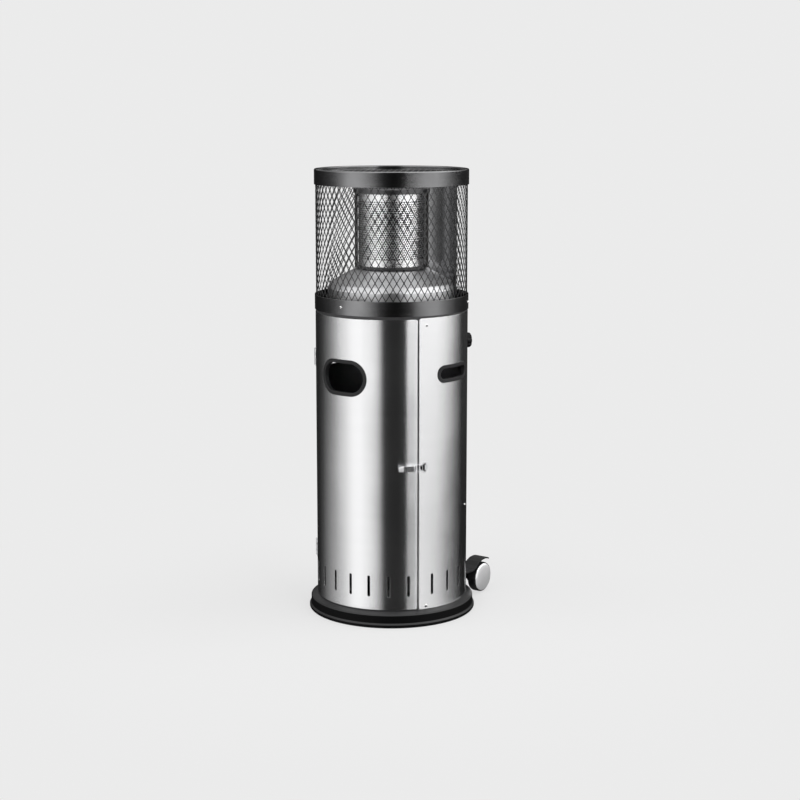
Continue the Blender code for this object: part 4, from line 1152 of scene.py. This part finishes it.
# ---- hinges: stamped leaves with three rivets each, rolled knuckles and a pin with domed ends
def hinge(z, spot):
    c = math.radians(4.5)
    for kind, sign, body in (("fixed", -1, "heater"), ("door", 1, "door")):
        f = on_shell(PSI_HINGE + sign * 4.5, z)
        knee = (R_HINGE * math.cos(c) - R, -sign * R_HINGE * math.sin(c))
        far, near, root = sign * 10.6, -sign * 9.7, knee[1] + sign * 1.4
        if kind == "fixed":
            outline = [(far, -22), (root, -22), (root, -8.2), (near, -8.2), (near, 8.2), (root, 8.2), (root, 22), (far, 22)]
            spans = [(-22, -8.2), (8.2, 22)]
        else:
            outline = [(far, -22), (near, -22), (near, -7.3), (root, -7.3), (root, 7.3), (near, 7.3), (near, 22), (far, 22)]
            spans = [(-7.3, 7.3)]
        parts = [prism(fillet(outline, {0: 3.2, 7: 3.2, 3: 0.8, 4: 0.8, 1: 0.6, 6: 0.6}, 6), 0.4, 1.6, 0.22, "X")]
        for a, b in spans:
            ring = fillet([(2.1, a), (3.9, a), (3.9, b), (2.1, b)], 0.35, 3)
            v, q = lathe_data(ring, 40)
            parts.append(([Vector(p) + Vector((knee[0], knee[1], 0)) * MM for p in v], q))
            # the leaf's tongue runs up into the roll
            tongue = [(root - sign * 2.4, 0.45), (root + sign * 0.2, 0.45), (knee[1] - sign * 0.6, knee[0] - 3.7),
                      (knee[1] + sign * 1.0, knee[0] - 2.4), (root + sign * 0.6, 1.55), (root - sign * 2.4, 1.55)]
            v, q = prism([(x, y) for y, x in tongue], a + 0.1, b - 0.1, 0.0, "Z")
            parts.append((v, q))
        for y, dz in ((sign * 2.0, -15.5), (sign * 6.4, 0.0), (sign * 2.0, 15.5)):
            parts.append(shifted(domed(2.3, 1.1, 1.5), 0, y, dz) + (1,))
        ob = placed("hinge_leaf_%s_%s_pressed" % (kind, spot), parts, f, [FITTING, ZINC], body, "stainless_fitting",
                    sharp=38)
        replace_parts(ob, "hinge_leaf_%s_%s" % (kind, spot))
    prof = [(0, -23.6), (1.2, -23.4), (2.3, -22.9), (2.7, -22.3), (1.95, -22.2), (1.95, 22.2), (2.7, 22.3), (2.3, 22.9),
            (1.2, 23.4), (0, 23.6)]
    v, q = lathe_data(prof, 28, closed=False)
    at_ = polar(R_HINGE, PSI_HINGE, z)
    ob = make("hinge_pin_%s_turned" % spot, [Vector(p) + at_ for p in v], q, ZINC, "heater", "zinc_steel", sharp=40)
    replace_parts(ob, "hinge_pin_" + spot)


hinge(HINGE_Z[0], "lower")
hinge(HINGE_Z[1], "upper")

# ---- draw latch: pressed base with ears, channel lever with a thumb tab, wire bail, keeper
L0 = on_shell(PSI_L0, Z_LATCH)
LP, LB = (7.0, 9.0), (7.0, -12.0)
ear = fillet([(1.0, 5.6), (9.9, 5.6), (9.9, 12.2), (1.0, 12.2)], {1: 3.2, 2: 3.2}, 8)
parts = [prism(fillet([(-11, -6.2), (12, -6.2), (12, 6.2), (-11, 6.2)], 1.6, 5), 0.4, 1.6, 0.22, "X")]
parts += [prism(ear, a, b, 0.2, "Z") for a, b in ((5.0, 6.2), (-6.2, -5.0))]
parts += [shifted(domed(1.9, 0.9, 1.5), 0, y, 0) for y in (-8.0, 1.5)]
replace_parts(placed("latch_base_pressed", parts, L0, FITTING, "door", "stainless_fitting", sharp=38), "latch_base")
prof = [(0, -8.7), (0.9, -8.6), (1.6, -8.2), (1.8, -7.75), (1.2, -7.7), (1.2, 7.7), (1.8, 7.75), (1.6, 8.2), (0.9, 8.6),
        (0, 8.7)]
v, q = lathe_data(prof, 24, closed=False)
ob = placed("latch_pin_turned", [([Vector(p) + Vector((LP[0], LP[1], 0)) * MM for p in v], q)], L0, ZINC, "door",
            "zinc_steel", sharp=40)
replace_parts(ob, "latch_pin")


def channel(stations, thick=1.0, arc=5):
    """Rounded channel: stations of (x face, y, half width, depth, corner radius), open towards the skin."""
    verts, faces = [], []
    rows = []
    for x, y, h, depth, rad in stations:
        row = []
        outer, inner = [(x - depth, -h)], [(x - depth, -h + thick)]
        for k in range(arc + 1):
            a = math.pi / 2 * k / arc
            outer.append((x - rad + rad * math.sin(a), -h + rad - rad * math.cos(a)))
        for k in range(arc + 1):
            a = math.pi / 2 * (1 - k / arc)
            outer.append((x - rad + rad * math.sin(a), h - rad + rad * math.cos(a)))
        outer.append((x - depth, h))
        ri = max(0.15, rad - thick)
        for k in range(arc + 1):
            a = math.pi / 2 * k / arc
            inner.append((x - thick - ri + ri * math.sin(a), -h + thick + ri - ri * math.cos(a)))
        for k in range(arc + 1):
            a = math.pi / 2 * (1 - k / arc)
            inner.append((x - thick - ri + ri * math.sin(a), h - thick - ri + ri * math.cos(a)))
        inner.append((x - depth, h - thick))
        for px, pz in outer + inner[::-1]:
            row.append(len(verts))
            verts.append((px * MM, y * MM, pz * MM))
        rows.append(row)
    n = len(rows[0])
    for a, b in zip(rows, rows[1:]):
        for k in range(n):
            l = (k + 1) % n
            faces.append([a[k], a[l], b[l], b[k]])
    m = n // 2
    for row in (rows[0], rows[-1]):
        for k in range(m - 1):
            faces.append([row[k], row[k + 1], row[n - 2 - k], row[n - 1 - k]])
    return verts, faces


st = [(9.0, 7.6, 7.6, 4.4, 1.4), (10.0, 7.0, 7.8, 5.4, 1.5), (10.7, 5.8, 7.9, 6.2, 1.6), (10.8, 4.2, 7.9, 6.4, 1.6)]
for k in range(1, 13):
    t = k / 12
    st.append((10.8 - 2.7 * t, 4.2 - 24.0 * t, 7.2 + 0.2 * max(0.0, (t - 0.78) / 0.22), 6.4 - 2.9 * t, 0.8))
st += [(8.0, -21.0, 7.4, 2.4, 0.8), (8.1, -22.4, 7.4, 1.9, 0.8), (8.4, -23.8, 7.3, 1.45, 0.9),
       (9.1, -25.6, 7.2, 1.3, 1.0), (10.2, -28.2, 7.0, 1.25, 1.05), (11.3, -30.8, 6.6, 1.2, 1.0),
       (12.2, -33.2, 6.0, 1.2, 1.0), (12.6, -34.4, 5.2, 1.15, 1.0), (12.75, -35.0, 4.0, 1.1, 1.0)]
flange = fillet([(9.0, 3.0), (4.4, 3.0), (4.4, 10.2), (5.6, 11.9), (8.6, 11.9), (9.9, 9.2), (10.2, 5.0)],
                {2: 1.5, 3: 1.8, 4: 1.8, 5: 2.0}, 5)
parts = [channel(st)] + [prism(flange, a, b, 0.18, "Z") for a, b in ((6.1, 7.1), (-7.1, -6.1))]
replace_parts(placed("latch_lever_pressed", parts, L0, FITTING, "latch_lever", "stainless_fitting", sharp=40), "latch_lever")
bar = L0.inverted() @ polar(R + 3.9, 58.8, Z_LATCH) / MM
route = [(LB[0], LB[1], 6.4), (LB[0], LB[1], 9.2), (bar.x, bar.y, 9.2), (bar.x, bar.y, -9.2), (LB[0], LB[1], -9.2),
         (LB[0], LB[1], -6.4)]
half = wire(route, 2.6, 8)
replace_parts(placed("latch_bail_bent", [tube(half, 1.0 * MM, 16)], L0, FITTING, "latch_bail", "stainless_fitting",
                   sharp=50), "latch_bail")

LK = on_shell(PSI_KEEPER, Z_LATCH)
shape = fillet([(-11.6, -5.0), (-7.5, -6.5), (-4.0, -14.0), (3.0, -14.0), (8.5, -4.0), (8.5, 4.0), (3.0, 14.0),
                (-4.0, 14.0), (-7.5, 6.5), (-11.6, 5.0)], {1: 2, 2: 3.5, 3: 3.5, 4: 4, 5: 4, 6: 3.5, 7: 3.5, 8: 2}, 5)
# the near-black patch and the lip beside it stand for the hook's mouth lying in shade: painted shade
mouth_shade_patch = fillet([(-11.3, -4.9), (-7.6, -6.2), (-5.2, -9.0), (-0.6, -5.2), (-0.6, 5.2), (-5.2, 9.0), (-7.6, 6.2), (-11.3, 4.9)],
              {1: 1.5, 2: 2.5, 3: 3, 4: 3, 5: 2.5, 6: 1.5}, 5)
parts = [prism(shape, 0.4, 1.6, 0.25, "X"), prism(mouth_shade_patch, 1.3, 1.72, 0.0, "X") + (2,),
         prism(fillet([(1.2, -11.6), (3.3, -11.6), (3.3, -10.5), (1.2, -10.5)], {1: 0.5, 2: 0.5}, 4), -4.9, 4.9, 0.2, "Z") + (2,)]
parts += [shifted(domed(2.5, 1.2, 1.5), 0, 0.0, dz) + (1,) for dz in (-8.4, 8.4)]
ob = placed("latch_keeper_pressed", parts, LK, [FITTING, DARK, PAINTED_SHADE_BLACK], "heater", "stainless_fitting", sharp=38)
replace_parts(ob, "latch_keeper")

# ---- control knob: fluted, glossy, with a pointer line; its bezel
def fluted(profile, count=8, depth=2.2, segs=192):
    verts, faces = [], []
    n = len(profile)
    axis = {}
    rings = []
    for i in range(segs):
        a = 2 * math.pi * i / segs
        d = (a * count / (2 * math.pi)) % 1.0 - 0.5
        dip = depth * max(0.0, 1 - (d / 0.24) ** 2) ** 1.2
        ring = []
        for k, (r, h, w) in enumerate(profile):
            if r < 1e-6:
                if k not in axis:
                    axis[k] = len(verts)
                    verts.append(Vector((h * MM, 0, 0)))
                ring.append(axis[k])
            else:
                rr = r - dip * w
                ring.append(len(verts))
                verts.append(Vector((h * MM, rr * math.sin(a) * MM, rr * math.cos(a) * MM)))
        rings.append(ring)
    for i in range(segs):
        a, b = rings[i], rings[(i + 1) % segs]
        for k in range(n - 1):
            f = []
            for v in (a[k], b[k], b[k + 1], a[k + 1]):
                if v not in f:
                    f.append(v)
            if len(f) > 2:
                faces.append(f)
    return verts, faces


VALVE = on_shell(PSI_KNOB, Z_KNOB)
knob = fluted([(0, 5.0, 0), (19.0, 5.0, 0), (19.8, 5.3, 0.2), (20.0, 6.0, 0.3), (19.9, 8.0, 0.9), (19.7, 11.0, 1),
               (19.4, 14.0, 1), (19.0, 15.4, 1), (18.2, 16.6, 0.95), (16.9, 17.6, 0.8), (15.2, 18.2, 0.5),
               (12.5, 18.5, 0.1), (8.0, 18.6, 0), (0, 18.6, 0)])
mark = prism(fillet([(-0.7, 9.0), (0.7, 9.0), (0.7, 16.0), (-0.7, 16.0)], 0.5, 4), 18.2, 18.75, 0.1, "X")
ob = placed("control_knob_moulded", [knob, mark + (1,)], VALVE, [GLOSS, CERAMIC], "knob", "black_plastic", sharp=50)
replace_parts(ob, "control_knob")
bezel = turned_x([(9.0, 0.4), (18.4, 0.4), (18.4, 1.0), (18.1, 1.3), (9.6, 1.3), (9.0, 1.1), (9.0, 0.4)], 96)
ob = placed("knob_bezel_pressed", [bezel], VALVE, ZINC, "heater", "zinc_steel", sharp=40)
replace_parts(ob, "knob_bezel")

# ---- band screws: pan heads with a recess, its floor a near-black disc: painted shade of the cross recess
for k, spot in enumerate(("front", "right", "left")):
    f = on_shell(-4.0 + 120.0 * k, 811.0, 197.6)
    head = turned_x([(0, 1.3), (1.7, 1.3), (1.8, 2.2), (2.4, 2.0), (3.1, 1.6), (3.7, 0.9), (3.9, 0.35), (0, 0.35)], 32)
    recess_shade = [turned_x([(0, 1.6), (1.66, 1.6), (1.66, 1.2), (0, 1.2)], 20) + (1,)]
    ob = placed("band_screw_%s_turned" % spot, [head] + recess_shade, f, [BRIGHT, SOOT_AND_RECESS_SHADE], "heater", "zinc_steel", sharp=35)
    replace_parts(ob, "band_screw_" + spot)

# screws and rivets of the sheet work that the model leaves out
for k, (psi, z, r) in enumerate(((62.3, 769.0, 3.4), (62.3, 48.0, 4.2), (111.0, 284.0, 2.8), (-70.5, 769.0, 3.4),
                                 (-70.5, 48.0, 4.2), (-111.0, 284.0, 2.8), (180.0, 769.0, 3.4), (180.0, 58.0, 4.2))):
    f = on_shell(psi, z)
    head = turned_x([(0, 1.3), (r * 0.5, 1.35), (r * 0.56, 1.9), (r * 0.7, 1.8), (r * 0.92, 1.1), (r, 0.02), (0, 0.02)], 28)
    # the near-black dot in each head is painted shade of its recess
    dot = turned_x([(0, 1.5), (r * 0.48, 1.5), (r * 0.48, 1.2), (0, 1.2)], 20)
    placed("shell_screw_%d" % k, [head, dot + (1,)], f, [BRIGHT, SOOT_AND_RECESS_SHADE], "heater", "zinc_steel", sharp=35)

# ---- emitter posts with studs through the seat and the cap
for side, psi in (("left", -52.0), ("right", 124.0)):
    f = on_shell(psi, 0, r=92.0)
    post = prism(fillet([(-6, 897.0), (6, 897.0), (6, 1087.0), (-6, 1087.0)], 1.2, 4), -6.0, 2.4, 0.5, "X")
    studs = [shifted(domed(2.4, 1.6, 2.3), 0, 0, z) + (1,) for z in (906.0, 1078.0)]
    ob = placed("emitter_post_%s_pressed" % side, [post] + studs, f, [SOOT_AND_RECESS_SHADE, BRIGHT], "heater", "black_enamel", sharp=40)
    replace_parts(ob, "emitter_post_" + side)

# ---- wheels: solid tyre with shallow grooves, domed disc, bracket with its hood
for side, s in (("left", -1), ("right", 1)):
    flip = Matrix.Diagonal((s, 1, 1, 1))
    f = Matrix.Translation((0, WHEEL_Y * MM, WHEEL_Z * MM)) @ flip
    tread = [(5.3, W0 + 1.2), (14.0, W0 + 1.4), (15.0, W0 + 2.8), (31.0, W0 + 2.8), (33.0, W0 + 1.0), (36.6, W0 + 0.1),
             (38.9, W0 + 1.2), (39.8, W0 + 3.4)]
    for x in (W0 + 6.6, W0 + 10.2, W0 + 13.8, W0 + 17.4):
        tread += [(39.95, x - 0.6), (39.2, x - 0.35), (39.2, x + 0.35), (39.95, x + 0.6)]
    tread += [(39.7, W1 - 2.9), (39.1, W1 - 1.0), (38.3, W1 - 0.1), (37.7, W1 - 0.1), (37.5, W1 - 0.8), (5.3, W1 - 0.8)]
    v, q = lathe_data(tread, 128)
    ob = placed("wheel_%s_moulded" % side, [([OUTWARD @ Vector(p) for p in v], q)], f, TYRE, "wheel_" + side,
                "black_tyre", sharp=40)
    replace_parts(ob, "wheel_" + side)
    disc = [(0, W1 + 4.2), (6.0, W1 + 4.15), (14.0, W1 + 3.95), (22.0, W1 + 3.55), (29.0, W1 + 2.95), (33.5, W1 + 2.3),
            (35.6, W1 + 1.75), (36.6, W1 + 1.1), (36.9, W1 + 0.3), (36.9, W1 - 0.4), (0, W1 - 0.4)]
    ob = placed("hub_disc_%s_domed" % side, [turned_x(disc, 128)], f, SILVER, "wheel_" + side, "silver_disc", sharp=50)
    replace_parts(ob, "hub_disc_" + side)
    cheek = [(232 + 34 * math.cos(math.radians(t)), 43.5 + 34 * math.sin(math.radians(t))) for t in range(-90, 61, 6)]
    cheek += [(249.0, 90.5), (240, 94), (224, 95.5), (206, 92.0), (190, 84), (176, 77), (120, 77), (120, 42.5),
              (200, 42.5), (210, 30), (220, 12)]
    hood = fillet([(252.0, 93.8), (244, 97.3), (232, 98.9), (217, 97.9), (203, 93.2), (190, 84.5), (176, 77), (120, 77),
                   (120, 73), (178, 73), (192, 80.6), (205, 89.5), (218, 94.2), (232, 95.2), (243, 93.8), (251.0, 90.6)],
                  {0: 1.6, 15: 1.2, 1: 12, 2: 16, 3: 16, 4: 14, 5: 14, 6: 10, 9: 10, 10: 14, 11: 14, 12: 14, 13: 14,
                   14: 10}, 4)

    def slab(outline, xs, trim_):
        """A plate across x whose inner end follows the cabinet; trim_ rounds its two faces."""
        n = len(outline)
        verts, faces = [], []
        for x, off in zip(xs, trim_):
            reach = math.sqrt(196.25 ** 2 - x * x)
            for i, (y, z) in enumerate(outline):
                a, c = Vector(outline[i - 1]), Vector(outline[(i + 1) % n])
                t = (c - a).normalized()
                nn = Vector((t.y, -t.x)) * orient
                verts.append((x * MM, max(y - nn.x * off, reach) * MM, (z - nn.y * off) * MM))
        for r in range(len(xs) - 1):
            for i in range(n):
                j = (i + 1) % n
                faces.append([r * n + i, r * n + j, (r + 1) * n + j, (r + 1) * n + i])
        faces.append(list(range(n))[::-1])
        faces.append([(len(xs) - 1) * n + i for i in range(n)])
        return verts, faces
    pieces = []
    for outline, x0, x1, count in ((cheek, 103.6, 108.4, 2), (hood, 104.0, 144.0, 14)):
        area = sum(outline[i - 1][0] * outline[i][1] - outline[i][0] * outline[i - 1][1] for i in range(len(outline)))
        orient = 1 if area > 0 else -1
        xs = [x0, x0 + 0.25, x0 + 0.7] + [x0 + 0.7 + (x1 - x0 - 1.4) * k / count for k in range(1, count)]
        xs += [x1 - 0.7, x1 - 0.25, x1]
        tr = [0.7, 0.25, 0.0] + [0.0] * (count - 1) + [0.0, 0.25, 0.7]
        pieces.append(slab(outline, xs, tr))
    ob = placed("wheel_bracket_%s_moulded" % side, pieces, flip, HOOD, "heater", "black_plastic", sharp=42)
    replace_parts(ob, "wheel_bracket_" + side)
    stub = [(0, 99.5), (7.4, 99.5), (8.0, 100.1), (8.0, 102.8), (7.6, 103.2), (4.9, 103.2), (4.9, W1 - 2.0), (0, W1 - 2.0)]
    ob = placed("axle_stub_%s_turned" % side, [turned_x(stub, 40)], f, ZINC, "heater", "zinc_steel", sharp=40)
    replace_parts(ob, "axle_stub_" + side)

# ================================================================== materials of the model's own solids
FINISH = {
    # the jambs take the darkened steel: painted shade
    "latch_jamb": JAMB_PAINTED_SHADE, "hinge_jamb": JAMB_PAINTED_SHADE, "burner_deck": ENAMEL, "burner_head": IRON, "mixing_tube": ZINC,
    "burner_bracket": ZINC, "injector": BRASS, "gas_valve": BRASS, "inlet_nipple": BRASS, "gas_feed_pipe": BRASS,
    "pilot_pipe": BRASS, "pilot_burner": BRASS, "thermocouple": ZINC, "igniter_lead": PLASTIC,
    "igniter_electrode": CERAMIC, "tilt_switch": PLASTIC, "valve_plunger": ZINC, "valve_stem": ZINC}
for name, m in FINISH.items():
    me = NODES[name].data
    me.materials.clear()
    me.materials.append(m)
